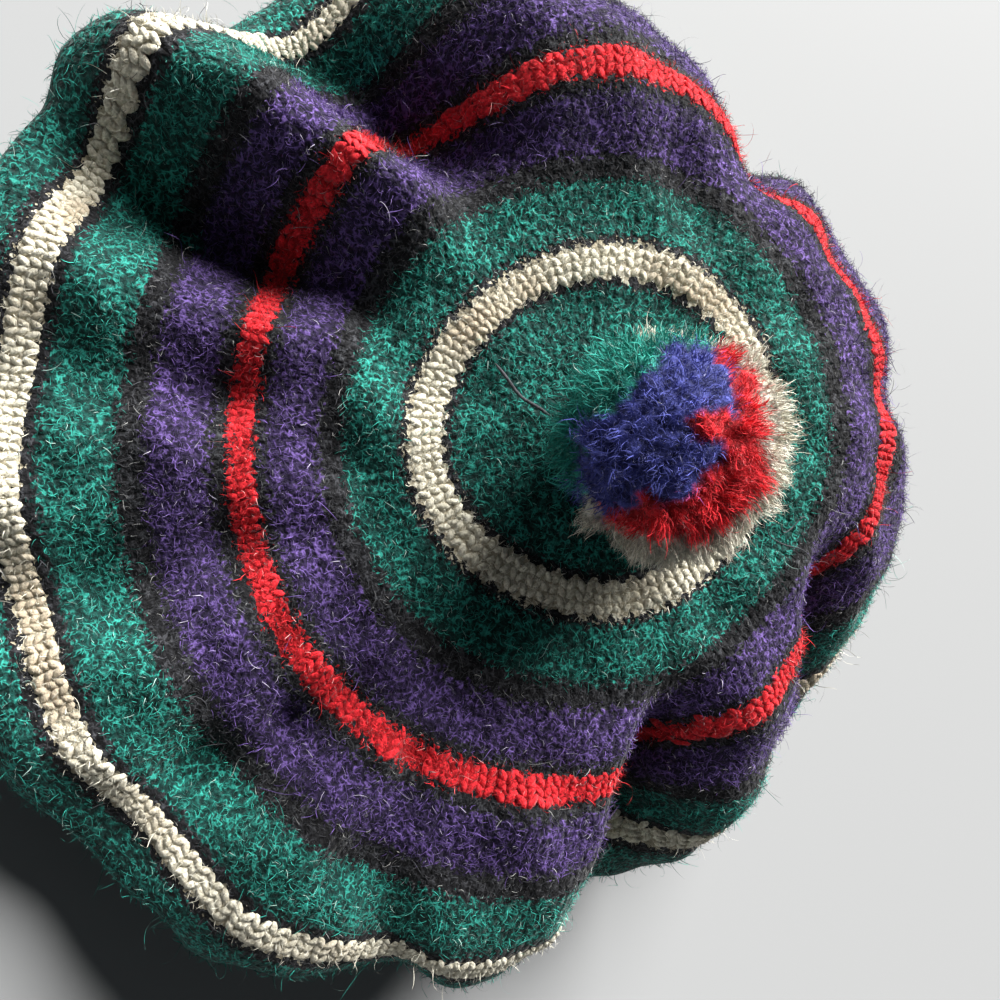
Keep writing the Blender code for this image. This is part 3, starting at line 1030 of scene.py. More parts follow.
class Grower:
    """Geometry Nodes trees that grow fibres on a surface or set stitches at points."""

    def __init__(self) -> None:
        """Build both trees."""
        self.fibres = self.fibre_tree()
        self.stitches = self.stitch_tree()

    def start(self, name: str,
              choices: Sequence[Choice]) -> tuple[Graph, dict[str, bpy.types.NodeSocket]]:
        """Begin a tree with its named inputs.

        Args:
            name: The tree's name.
            choices: Its inputs after the geometry.

        Returns:
            The tree's graph, and the sockets of its inputs by name.
        """
        tree = bpy.data.node_groups.new(name, "GeometryNodeTree")
        kind = "NodeSocketGeometry"
        for side in ("INPUT", "OUTPUT"):
            tree.interface.new_socket(name="Geometry", in_out=side, socket_type=kind)
        for choice in choices:
            tree.interface.new_socket(name=choice.name, in_out="INPUT", socket_type=choice.kind)
        graph = Graph(tree)
        sockets = graph.node("NodeGroupInput").outputs
        return graph, {socket.name: socket for socket in sockets if socket.name}

    def close(self, graph: Graph, instances: Value, finish: Value) -> bpy.types.NodeTree:
        """End a tree in plain geometry with its material.

        Args:
            graph: The tree's graph.
            instances: The instances to realize.
            finish: The material's socket.

        Returns:
            The tree.
        """
        plain = graph.node("GeometryNodeRealizeInstances", None, {"Geometry": instances})
        inputs = {"Geometry": plain.outputs[0], "Material": finish}
        dressed = graph.node("GeometryNodeSetMaterial", None, inputs)
        graph.node("NodeGroupOutput", None, {0: dressed.outputs[0]})
        return graph.tree

    def named(self, graph: Graph, kind: str, name: str) -> bpy.types.NodeSocket:
        """Read a named attribute."""
        node = graph.node("GeometryNodeInputNamedAttribute", {"data_type": kind}, {"Name": name})
        return node.outputs[0]

    def random(self, graph: Graph, low: Value, high: Value, seed: Value) -> bpy.types.NodeSocket:
        """Draw a random number for each point."""
        inputs = {"Min": low, "Max": high, "Seed": seed}
        node = graph.node("FunctionNodeRandomValue", {"data_type": "FLOAT"})
        for name, value in inputs.items():
            socket = next(s for s in node.inputs if s.name == name and s.enabled)
            if isinstance(value, Signal):
                value = value.socket
            if isinstance(value, bpy.types.NodeSocket):
                graph.tree.links.new(value, socket)
            else:
                socket.default_value = value
        return next(s for s in node.outputs if s.enabled)

    def fibre_tree(self) -> bpy.types.NodeTree:
        """Build the tree that scatters curled fibres over a surface.

        Returns:
            The tree.
        """
        graph, given = self.start("grow fibres", GROW_INPUTS)
        seed = Signal(graph, given["Seed"])
        weight = Signal(graph, self.named(graph, "FLOAT", "nap"))
        inputs = {"Mesh": given["Geometry"], "Density": weight * given["Density"], "Seed": seed}
        scatter = graph.node("GeometryNodeDistributePointsOnFaces", None, inputs)
        cloth_map = self.named(graph, "FLOAT_VECTOR", CLOTH_MAP)
        place = graph.node("ShaderNodeSeparateXYZ", None, {0: cloth_map})
        tone = self.random(graph, 0.0, 1.0, seed + 1)
        inputs = {0: place.outputs[0], 1: place.outputs[1], 2: tone}
        root = graph.node("ShaderNodeCombineXYZ", None, inputs)
        settings = {"data_type": "FLOAT_VECTOR", "domain": "POINT"}
        inputs = {"Geometry": scatter.outputs["Points"], "Name": ROOT_MAP, "Value": root.outputs[0]}
        marked = graph.node("GeometryNodeStoreNamedAttribute", settings, inputs)
        flow = self.named(graph, "FLOAT_VECTOR", "flow")
        upright = graph.node("FunctionNodeAlignRotationToVector", {"axis": "Z"}, {"Vector": flow})
        spin = self.random(graph, 0.0, 2.0 * math.pi, seed + 2)
        fluff = Signal(graph, self.named(graph, "FLOAT", "fluff"))
        lean = fluff * self.random(graph, given["Least Lean"], given["Most Lean"], seed + 3)
        roll = self.random(graph, 0.0, 2.0 * math.pi, seed + 4)
        turned = upright.outputs[0]
        for axis, angle in (("Z", spin), ("X", lean), ("Z", roll)):
            angles = graph.node("ShaderNodeCombineXYZ", None, {axis: angle})
            step = graph.node("FunctionNodeEulerToRotation", None, {0: angles.outputs[0]})
            inputs = {"Rotation": turned, "Rotate By": step.outputs[0]}
            node = graph.node("FunctionNodeRotateRotation", {"rotation_space": "LOCAL"}, inputs)
            turned = node.outputs[0]
        reach = Signal(graph, self.named(graph, "FLOAT", "reach"))
        shapes = graph.node("GeometryNodeObjectInfo", None, {"Object": given["Shapes"]})
        variant = self.named(graph, "INT", "variant")
        inputs = {"Geometry": shapes.outputs["Geometry"], "Group ID": variant}
        split = graph.node("GeometryNodeSplitToInstances", None, inputs)
        inputs = {
            "Points": marked.outputs[0],
            "Instance": split.outputs["Instances"],
            "Pick Instance": True,
            "Instance Index": Signal(graph, self.random(graph, 0.0, MOST_DRAWN, seed + 5)).floor(),
            "Rotation": turned,
            "Scale": reach * self.random(graph, given["Shortest"], given["Longest"], seed + 6),
        }
        instances = graph.node("GeometryNodeInstanceOnPoints", None, inputs)
        return self.close(graph, instances.outputs[0], given["Finish"])

    def stitch_tree(self) -> bpy.types.NodeTree:
        """Build the tree that sets one yarn shape at each point.

        Returns:
            The tree.
        """
        graph, given = self.start("set stitches", SET_INPUTS)
        facing = self.named(graph, "FLOAT_VECTOR", "facing")
        along = self.named(graph, "FLOAT_VECTOR", "along")
        upright = graph.node("FunctionNodeAlignRotationToVector", {"axis": "Z"}, {"Vector": facing})
        inputs = {"Rotation": upright.outputs[0], "Vector": along}
        settings = {"axis": "Y", "pivot_axis": "Z"}
        turned = graph.node("FunctionNodeAlignRotationToVector", settings, inputs)
        shape = graph.node("GeometryNodeObjectInfo", None, {"Object": given["Shape"]})
        inputs = {
            "Points": given["Geometry"],
            "Instance": shape.outputs["Geometry"],
            "Rotation": turned.outputs[0],
            "Scale": self.named(graph, "FLOAT_VECTOR", "size"),
        }
        instances = graph.node("GeometryNodeInstanceOnPoints", None, inputs)
        return self.close(graph, instances.outputs[0], given["Finish"])

    def run(self, source: bpy.types.Object, tree: bpy.types.NodeTree, name: str,
            values: dict[str, Any]) -> bpy.types.Object:
        """Run a tree on an object and keep the result as a plain mesh.

        Args:
            source: The object that the tree starts from.
            tree: The tree.
            name: The new piece's name.
            values: The tree's inputs by name.

        Returns:
            The new piece.
        """
        modifier = source.modifiers.new("grow", "NODES")
        modifier.node_group = tree
        for item in tree.interface.items_tree:
            if item.in_out == "INPUT" and item.name in values:
                modifier[item.identifier] = values[item.name]
        source.update_tag()
        depsgraph = bpy.context.evaluated_depsgraph_get()
        depsgraph.update()
        mesh = bpy.data.meshes.new_from_object(source.evaluated_get(depsgraph), depsgraph=depsgraph)
        source.modifiers.remove(modifier)
        mesh.name = name
        piece = bpy.data.objects.new(name, mesh)
        bpy.context.scene.collection.objects.link(piece)
        return piece


def link_mesh(name: str, places: np.ndarray, faces: Sequence[Sequence[int]]) -> bpy.types.Object:
    """Make a smooth-shaded object from places and faces.

    Args:
        name: The object's name.
        places: Vertex places.
        faces: Vertex numbers of each face.

    Returns:
        The object.
    """
    mesh = bpy.data.meshes.new(name)
    mesh.from_pydata([tuple(place) for place in places], [], [tuple(face) for face in faces])
    mesh.shade_smooth()
    piece = bpy.data.objects.new(name, mesh)
    bpy.context.scene.collection.objects.link(piece)
    return piece


def set_attribute(piece: bpy.types.Object, name: str, kind: str, values: np.ndarray) -> None:
    """Write a point attribute.

    Args:
        piece: The object.
        name: The attribute's name.
        kind: FLOAT, INT or FLOAT_VECTOR.
        values: A value or a vector for each vertex.
    """
    attribute = piece.data.attributes.new(name, kind, "POINT")
    key = "vector" if kind == "FLOAT_VECTOR" else "value"
    attribute.data.foreach_set(key, np.ascontiguousarray(values).ravel())


def drop(*pieces: bpy.types.Object) -> None:
    """Remove helper objects and their meshes."""
    for piece in pieces:
        mesh = piece.data
        bpy.data.objects.remove(piece, do_unlink=True)
        bpy.data.meshes.remove(mesh)


def triangle_count(piece: bpy.types.Object) -> int:
    """Count a piece's triangles."""
    return sum(len(face.vertices) - 2 for face in piece.data.polygons)


@dataclass
class FibreShapes:
    """A set of curled fibre shapes, one unit long, for the growing tree to pick from."""

    name: str
    variants: int = 24
    segments: int = 3
    width: float = 0.055
    least_curl: float = 0.8
    most_curl: float = 3.4
    twist: float = 1.2
    curl_start: float = 0.35
    edge_rise: float = 0.3
    taper: float = 0.4
    seed: int = SEED

    def make(self) -> bpy.types.Object:
        """Build the shapes as tapered ribbons in one mesh.

        Returns:
            The helper object.
        """
        draw = np.random.default_rng(self.seed)
        places, faces, variant = [], [], []
        for number in range(self.variants):
            curl = draw.uniform(self.least_curl, self.most_curl)
            twist = draw.uniform(-self.twist, self.twist)
            place = np.zeros(3)
            base = len(places)
            for joint in range(self.segments + 1):
                share = joint / self.segments
                bend, side = curl * (share - self.curl_start), twist * share
                aside = math.sin(bend)
                way = np.array([aside * math.cos(side), aside * math.sin(side), math.cos(bend)])
                edge = np.array([math.cos(side), math.sin(side), self.edge_rise])
                across = unit(np.cross(way, edge))
                half = 0.5 * self.width * (1.0 - share) ** self.taper
                if joint < self.segments:
                    places += [place - half * across, place + half * across]
                else:
                    places.append(place)
                place = place + way / self.segments
            for joint in range(self.segments - 1):
                a = base + 2 * joint
                faces.append((a, a + 1, a + 3, a + 2))
            a = base + 2 * (self.segments - 1)
            faces.append((a, a + 1, a + 2))
            variant += [number] * (2 * self.segments + 1)
        shapes = link_mesh(self.name, np.array(places), faces)
        set_attribute(shapes, "variant", "INT", np.array(variant, dtype=np.int32))
        return shapes


@dataclass
class StitchShape:
    """One V stitch in a box one unit wide and one unit high, its point towards -Y."""

    name: str
    sides: int = 5
    segments: int = 4
    yarn: float = 0.25
    lift: float = 0.30
    spread: float = 0.33
    foot: float = 0.09
    length: float = 1.40
    start: float = 0.75
    sink: float = 0.6
    least_girth: float = 0.60

    def make(self) -> bpy.types.Object:
        """Build both legs as bent, tapered tubes.

        Returns:
            The helper object.
        """
        places, faces = [], []
        for hand in (-1.0, 1.0):
            base = len(places)
            for joint in range(self.segments + 1):
                share = joint / self.segments
                swell = math.sin(math.pi * share)
                centre = np.array([hand * (self.foot + self.spread * share),
                                   self.length * share - self.start,
                                   self.lift * (swell - self.sink)])
                girth = self.yarn * (self.least_girth + (1.0 - self.least_girth) * swell)
                for side in range(self.sides):
                    angle = 2.0 * math.pi * side / self.sides
                    spoke = np.array([math.cos(angle), 0.0, math.sin(angle)])
                    places.append(centre + girth * spoke)
            for joint in range(self.segments):
                for side in range(self.sides):
                    after = (side + 1) % self.sides
                    a, b = base + joint * self.sides, base + (joint + 1) * self.sides
                    faces.append((a + side, b + side, b + after, a + after))
            last = base + self.segments * self.sides
            faces.append(tuple(base + side for side in range(self.sides)))
            faces.append(tuple(last + side for side in reversed(range(self.sides))))
        return link_mesh(self.name, np.array(places), faces)


class Fur(NamedTuple):
    """How fibres grow: a number for each square metre, lengths in metres and leans in radians."""

    density: float
    shortest: float
    longest: float
    least_lean: float
    most_lean: float


@dataclass
class Fleece:
    """Fibres that grow out of one surface."""

    grower: Grower
    shapes: bpy.types.Object
    finish: bpy.types.Material

    def grow(self, source: bpy.types.Object, name: str, fur: Fur, weights: np.ndarray,
             seed: int) -> bpy.types.Object:
        """Grow one piece of fibres.

        Args:
            source: The surface, with its flow, reach and fluff attributes.
            name: The piece's name.
            fur: How the fibres grow.
            weights: Share of the density at each vertex.
            seed: Start of the random numbers.

        Returns:
            The piece.
        """
        set_attribute(source, "nap", "FLOAT", weights.astype(np.float32))
        values = {"Density": fur.density, "Shortest": fur.shortest, "Longest": fur.longest,
                  "Least Lean": fur.least_lean, "Most Lean": fur.most_lean, "Seed": seed,
                  "Shapes": self.shapes, "Finish": self.finish}
        piece = self.grower.run(source, self.grower.fibres, name, values)
        source.data.attributes.remove(source.data.attributes["nap"])
        return piece


@dataclass
class Crown:
    """The crown's cloth wall, with its map of the rings and of where nap grows."""

    form: CrownForm
    finer: int = 3
    top_rows: int = 108
    under_rows: int = 30
    first_share: float = 0.02
    lump: float = 0.45 * MM
    lump_size: float = 11.0 * MM
    lump_fade: tuple[float, ...] = (0.5, 0.0, 0.0)
    inner_top_rows: tuple[float, ...] = (0.06, 0.13, 0.21, 0.29, 0.35, 0.39, 0.43, 0.47,
                                         0.51, 0.55, 0.59, 0.64, 0.69, 0.74, 0.79, 0.84,
                                         0.89, 0.94, 0.99, 1.03, 1.07, 1.12)
    inner_under_rows: tuple[float, ...] = (0.20, 0.40, 0.60, 0.80, 1.0)
    inner_rows: tuple[int, ...] = (1, 3, 5, 7, 9, 11, 13, 15, 16, 17, 18, 19, 20, 21, 22, 24,
                                   26, 27)

    def inner_skin(self) -> np.ndarray:
        """Place the wall's inner rows, from the crown's middle.

        Returns:
            The rows, with as many columns as the outer skin.
        """
        shares = np.array(self.inner_top_rows)
        bearings = self.form.columns(shares)
        top = self.form.top(shares, bearings)
        outer = np.concatenate([top, self.form.under(top, self.inner_under_rows, bearings[-1])])
        along = np.gradient(outer, axis=0)
        across = np.roll(outer, -1, axis=1) - np.roll(outer, 1, axis=1)
        inner = (outer - self.form.wall * unit(np.cross(along, across)))[list(self.inner_rows)]
        after = np.roll(inner, -1, axis=1)
        steps = [inner + (after - inner) * part / self.finer for part in range(self.finer)]
        return np.stack(steps, axis=2).reshape(len(inner), -1, 3)

    def outer_skin(self) -> tuple[np.ndarray, np.ndarray, np.ndarray]:
        """Place the outer rows, with small lumps.

        Returns:
            Places from the crown's middle, each vertex's turn, and its distance along the cloth.
        """
        form = self.form
        shares = np.linspace(self.first_share, form.stations[-1], self.top_rows)
        bearings = form.columns(shares, self.finer)
        top = form.top(shares, bearings)
        parts = np.linspace(0.0, 1.0, self.under_rows + 1)[1:]
        rows = np.concatenate([top, form.under(top, parts, bearings[-1])])
        last = np.repeat(bearings[-1:], len(rows) - len(top), axis=0)
        turns = np.concatenate([bearings, last]) / 360.0
        steps = np.linalg.norm(np.diff(rows[len(top) - 1:], axis=0), axis=-1).mean(axis=1)
        past = shares[-1] * form.radius + np.cumsum(steps)
        distances = np.concatenate([shares * form.radius, past])
        along = np.gradient(rows, axis=0)
        across = np.roll(rows, -1, axis=1) - np.roll(rows, 1, axis=1)
        normals = unit(np.cross(along, across))
        flat = rows.reshape(-1, 3)
        bumps = [noise.noise(Vector(place) / self.lump_size) for place in flat]
        fade = np.ones(len(rows))
        fade[-len(self.lump_fade):] = self.lump_fade
        lumps = self.lump * np.array(bumps).reshape(rows.shape[:2]) * fade[:, None]
        return rows + lumps[..., None] * normals, turns, distances

    def cloth(self) -> bpy.types.Object:
        """Build the crown's single hollow wall with its cloth map.

        Returns:
            The cloth.
        """
        outer, turns, distances = self.outer_skin()
        inner = self.inner_skin()[::-1]
        rows = np.concatenate([outer, inner])
        count, width = rows.shape[:2]
        places = self.form.middle + rows.reshape(-1, 3)
        poles = self.form.middle + np.array([np.zeros(3), -self.form.wall * self.form.top_normal()])
        column = np.arange(width)
        after = (column + 1) % width
        faces = [np.stack([r * width + column, (r + 1) * width + column, (r + 1) * width + after,
                           r * width + after], axis=1) for r in range(count - 1)]
        faces = np.concatenate(faces).tolist()
        top, under, last = count * width, count * width + 1, (count - 1) * width
        faces += [(top, c, (c + 1) % width) for c in range(width)]
        faces += [(last + c, under, last + (c + 1) % width) for c in range(width)]
        piece = link_mesh("crown_cloth", np.vstack([places, poles]), faces)
        inner_turns = np.repeat(turns[-1:], len(inner), axis=0)
        inner_distances = np.linspace(distances[-1], CLOTH_SPAN, len(inner))
        turns = np.concatenate([turns, inner_turns])
        distances = np.repeat(np.concatenate([distances, inner_distances])[:, None], width, axis=1)
        self.write_map(piece, turns, distances - self.form.drift(distances, turns * 360.0))
        return piece

    def write_map(self, piece: bpy.types.Object, turns: np.ndarray, distances: np.ndarray) -> None:
        """Write turn and distance as the cloth map, and the outward ways that the nap follows.

        Args:
            piece: The cloth.
            turns: Each vertex's turn round the crown, a row at a time.
            distances: Each vertex's distance in the rings' even measure.
        """
        mesh = piece.data
        rows, width = turns.shape
        corner = np.zeros(len(mesh.loops), dtype=np.int32)
        mesh.loops.foreach_get("vertex_index", corner)
        starts = np.zeros(len(mesh.polygons), dtype=np.int32)
        totals = np.zeros(len(mesh.polygons), dtype=np.int32)
        mesh.polygons.foreach_get("loop_start", starts)
        mesh.polygons.foreach_get("loop_total", totals)
        face = np.repeat(np.arange(len(starts)), totals)
        body = corner < rows * width
        u, v = np.zeros(len(corner)), np.zeros(len(corner))
        u[body] = turns.ravel()[corner[body]]
        v[body] = distances.ravel()[corner[body]]
        v[corner == rows * width + 1] = CLOTH_SPAN
        seam = np.zeros(len(starts), dtype=bool)
        first, last = corner % width == 0, corner % width == width - 1
        seam[face[last & body]] = True
        at_first = np.zeros(len(starts), dtype=bool)
        at_first[face[first & body]] = True
        wraps = seam & at_first
        u[wraps[face] & first & body] += 1.0
        pole = ~body
        mean = np.zeros(len(starts))
        np.add.at(mean, face[body], u[body])
        counts = np.zeros(len(starts))
        np.add.at(counts, face[body], 1.0)
        u[pole] = (mean / np.maximum(counts, 1.0))[face[pole]]
        layer = mesh.uv_layers.new(name=CLOTH_MAP)
        layer.data.foreach_set("uv", np.stack([u, v / CLOTH_SPAN], axis=1).ravel())
        mesh.update()
        normals = np.zeros(len(mesh.vertices) * 3, dtype=np.float32)
        mesh.vertices.foreach_get("normal", normals)
        set_attribute(piece, "flow", "FLOAT_VECTOR", normals)

    def even_distances(self, piece: bpy.types.Object) -> np.ndarray:
        """Read each vertex's distance in the rings' even measure.

        Args:
            piece: The cloth.

        Returns:
            The distances.
        """
        mesh = piece.data
        uv = np.zeros(len(mesh.loops) * 2, dtype=np.float32)
        mesh.uv_layers[CLOTH_MAP].data.foreach_get("uv", uv)
        corner = np.zeros(len(mesh.loops), dtype=np.int32)
        mesh.loops.foreach_get("vertex_index", corner)
        distance = np.zeros(len(mesh.vertices))
        distance[corner] = uv[1::2] * CLOTH_SPAN
        return distance

    def by_ring(self, distances: np.ndarray, values: dict[Wool, float]) -> np.ndarray:
        """Look up a value by the wool of each vertex's ring.

        Args:
            distances: Each vertex's distance.
            values: The value of each wool.

        Returns:
            A value for each vertex.
        """
        edges = np.array([ring.edge for ring in RINGS]) * MM
        found = np.minimum(np.searchsorted(edges, distances, side="right"), len(RINGS) - 1)
        return np.array([values[ring.wool] for ring in RINGS], dtype=np.float32)[found]

    def nap_weights(self, distances: np.ndarray, low: float, high: float,
                    fade: float) -> np.ndarray:
        """Weigh the nap's density so that it grows between two distances.

        Args:
            distances: Each vertex's distance.
            low: Distance where the nap starts.
            high: Distance where it stops.
            fade: Weight past the rim, where it is out of sight.

        Returns:
            A weight for each vertex.
        """
        inside = (distances >= low) & (distances < high)
        weight = inside * self.by_ring(distances, NAP_SHARES)
        rim = self.form.radius * self.form.stations[-1]
        return np.where(distances > rim, weight * fade, weight).astype(np.float32)


@dataclass
class CrownStitches:
    """Raised V stitches of the rings that stay clear through the fulling."""

    form: CrownForm
    grower: Grower
    width: float = 3.8 * MM
    round: float = 2.3 * MM
    height: float = 2.2 * MM
    sink: float = 0.15 * MM
    turn_scatter: float = 0.05
    place_scatter: float = 0.12 * MM
    rises: tuple[float, float] = (0.85, 1.15)
    breadths: tuple[float, float] = (0.94, 1.08)
    lengths: tuple[float, float] = (0.95, 1.10)

    def rounds(self, name: str, distances: Sequence[float], finish: bpy.types.Material,
               shape: bpy.types.Object, flatten: float = 1.0) -> bpy.types.Object:
        """Set rounds of stitches, one wale below the other.

        Args:
            name: The piece's name.
            distances: Distance of each round along the cloth.
            finish: The yarn's material.
            shape: The stitch's shape.
            flatten: Share of the full height.

        Returns:
            The piece.
        """
        draw = np.random.default_rng(SEED)
        middle = float(np.mean(distances))
        count = int(round(2.0 * math.pi * middle / self.width))
        places, facing, along, sizes = [], [], [], []
        for distance in distances:
            scatter = draw.normal(0.0, self.turn_scatter, count)
            bearings = 360.0 * (np.arange(count) + scatter) / count
            found = self.form.ring_place(distance, bearings)
            spots, normals, ways = self.form.surface(found, bearings)
            ahead, _, _ = self.form.surface(found, bearings + 180.0 / count)
            behind, _, _ = self.form.surface(found, bearings - 180.0 / count)
            breadth = np.linalg.norm(ahead - behind, axis=1)
            scatter = draw.normal(0.0, self.place_scatter, (count, 1))
            spots = spots - self.sink * normals + ways * scatter
            places.append(spots)
            facing.append(normals)
            along.append(-ways)
            rise = self.height * flatten * draw.uniform(*self.rises, count)
            breadth = breadth * draw.uniform(*self.breadths, count)
            length = np.full(count, self.round) * draw.uniform(*self.lengths, count)
            sizes.append(np.stack([breadth, length, rise], axis=1))
        points = link_mesh(name + "_points", np.concatenate(places), [])
        set_attribute(points, "facing", "FLOAT_VECTOR", np.concatenate(facing).astype(np.float32))
        set_attribute(points, "along", "FLOAT_VECTOR", np.concatenate(along).astype(np.float32))
        set_attribute(points, "size", "FLOAT_VECTOR", np.concatenate(sizes).astype(np.float32))
        values = {"Shape": shape, "Finish": finish}
        piece = self.grower.run(points, self.grower.stitches, name, values)
        drop(points)
        return piece


class Tuft(NamedTuple):
    """A bundle of the pompom's strands: its place on the ball in degrees, and its wool."""

    bearing: float
    height: float
    wool: Wool


TUFTS = (
    Tuft(113, 2, Wool.GREEN),
    Tuft(98, 16, Wool.GREEN),
    Tuft(130, 18, Wool.GREEN),
    Tuft(158, 16, Wool.GREEN),
    Tuft(151, 0, Wool.GREEN),
    Tuft(176, 0, Wool.GREEN),
    Tuft(66, 16, Wool.GREEN),
    Tuft(120, -30, Wool.GREEN),
    Tuft(160, -32, Wool.GREEN),
    Tuft(316, -8, Wool.GREEN),
    Tuft(106, 27, Wool.GREEN),
    Tuft(120, 36, Wool.GREEN),
    Tuft(148, 32, Wool.GREEN),
    Tuft(74, 40, Wool.BLUE),
    Tuft(99, 52, Wool.BLUE),
    Tuft(82, 36, Wool.BLUE),
    Tuft(138, 54, Wool.BLUE),
    Tuft(168, 34, Wool.BLUE),
    Tuft(46, 57, Wool.BLUE),
    Tuft(147, 80, Wool.BLUE),
    Tuft(62, 70, Wool.BLUE),
    Tuft(189, 62, Wool.BLUE),
    Tuft(239, 68, Wool.BLUE),
    Tuft(207, 50, Wool.BLUE),
    Tuft(180, 46, Wool.BLUE),
    Tuft(186, 18, Wool.BLUE),
    Tuft(196, 34, Wool.BLUE),
    Tuft(208, 26, Wool.BLUE),
    Tuft(285, 78, Wool.BLUE),
    Tuft(210, -24, Wool.BLUE),
    Tuft(51, 22, Wool.RED),
    Tuft(33, 38, Wool.RED),
    Tuft(14, 48, Wool.RED),
    Tuft(356, 62, Wool.RED),
    Tuft(315, 64, Wool.RED),
    Tuft(311, 48, Wool.RED),
    Tuft(281, 40, Wool.RED),
    Tuft(254, 42, Wool.RED),
    Tuft(236, 34, Wool.RED),
    Tuft(220, 22, Wool.RED),
    Tuft(35, 82, Wool.RED),
    Tuft(18, 76, Wool.RED),
    Tuft(264, 52, Wool.RED),
    Tuft(32, 8, Wool.CREAM),
    Tuft(7, 26, Wool.CREAM),
    Tuft(342, 31, Wool.CREAM),
    Tuft(318, 26, Wool.CREAM),
    Tuft(291, 18, Wool.CREAM),
    Tuft(262, 12, Wool.CREAM),
    Tuft(240, 6, Wool.CREAM),
    Tuft(222, -4, Wool.CREAM),
    Tuft(10, -30, Wool.CREAM),
    Tuft(60, -30, Wool.CREAM),
    Tuft(330, -34, Wool.CREAM),
    Tuft(270, -34, Wool.CREAM),
)


class Pile(NamedTuple):
    """How one wool stands in the pompom: density, lean, length, swell, light and drape."""

    density: float
    fluff: float
    reach: float
    swell: float
    light: float
    drape: float


PILES = {
    Wool.GREEN: Pile(1.00, 1.30, 1.25, 0.02, 1.00, 0.20),
    Wool.BLUE: Pile(0.95, 1.60, 1.00, 0.00, 0.80, 0.25),
    Wool.RED: Pile(1.40, 0.80, 0.85, 0.05, 1.00, 0.60),
    Wool.CREAM: Pile(1.40, 0.70, 0.95, 0.12, 1.00, 0.45),
}


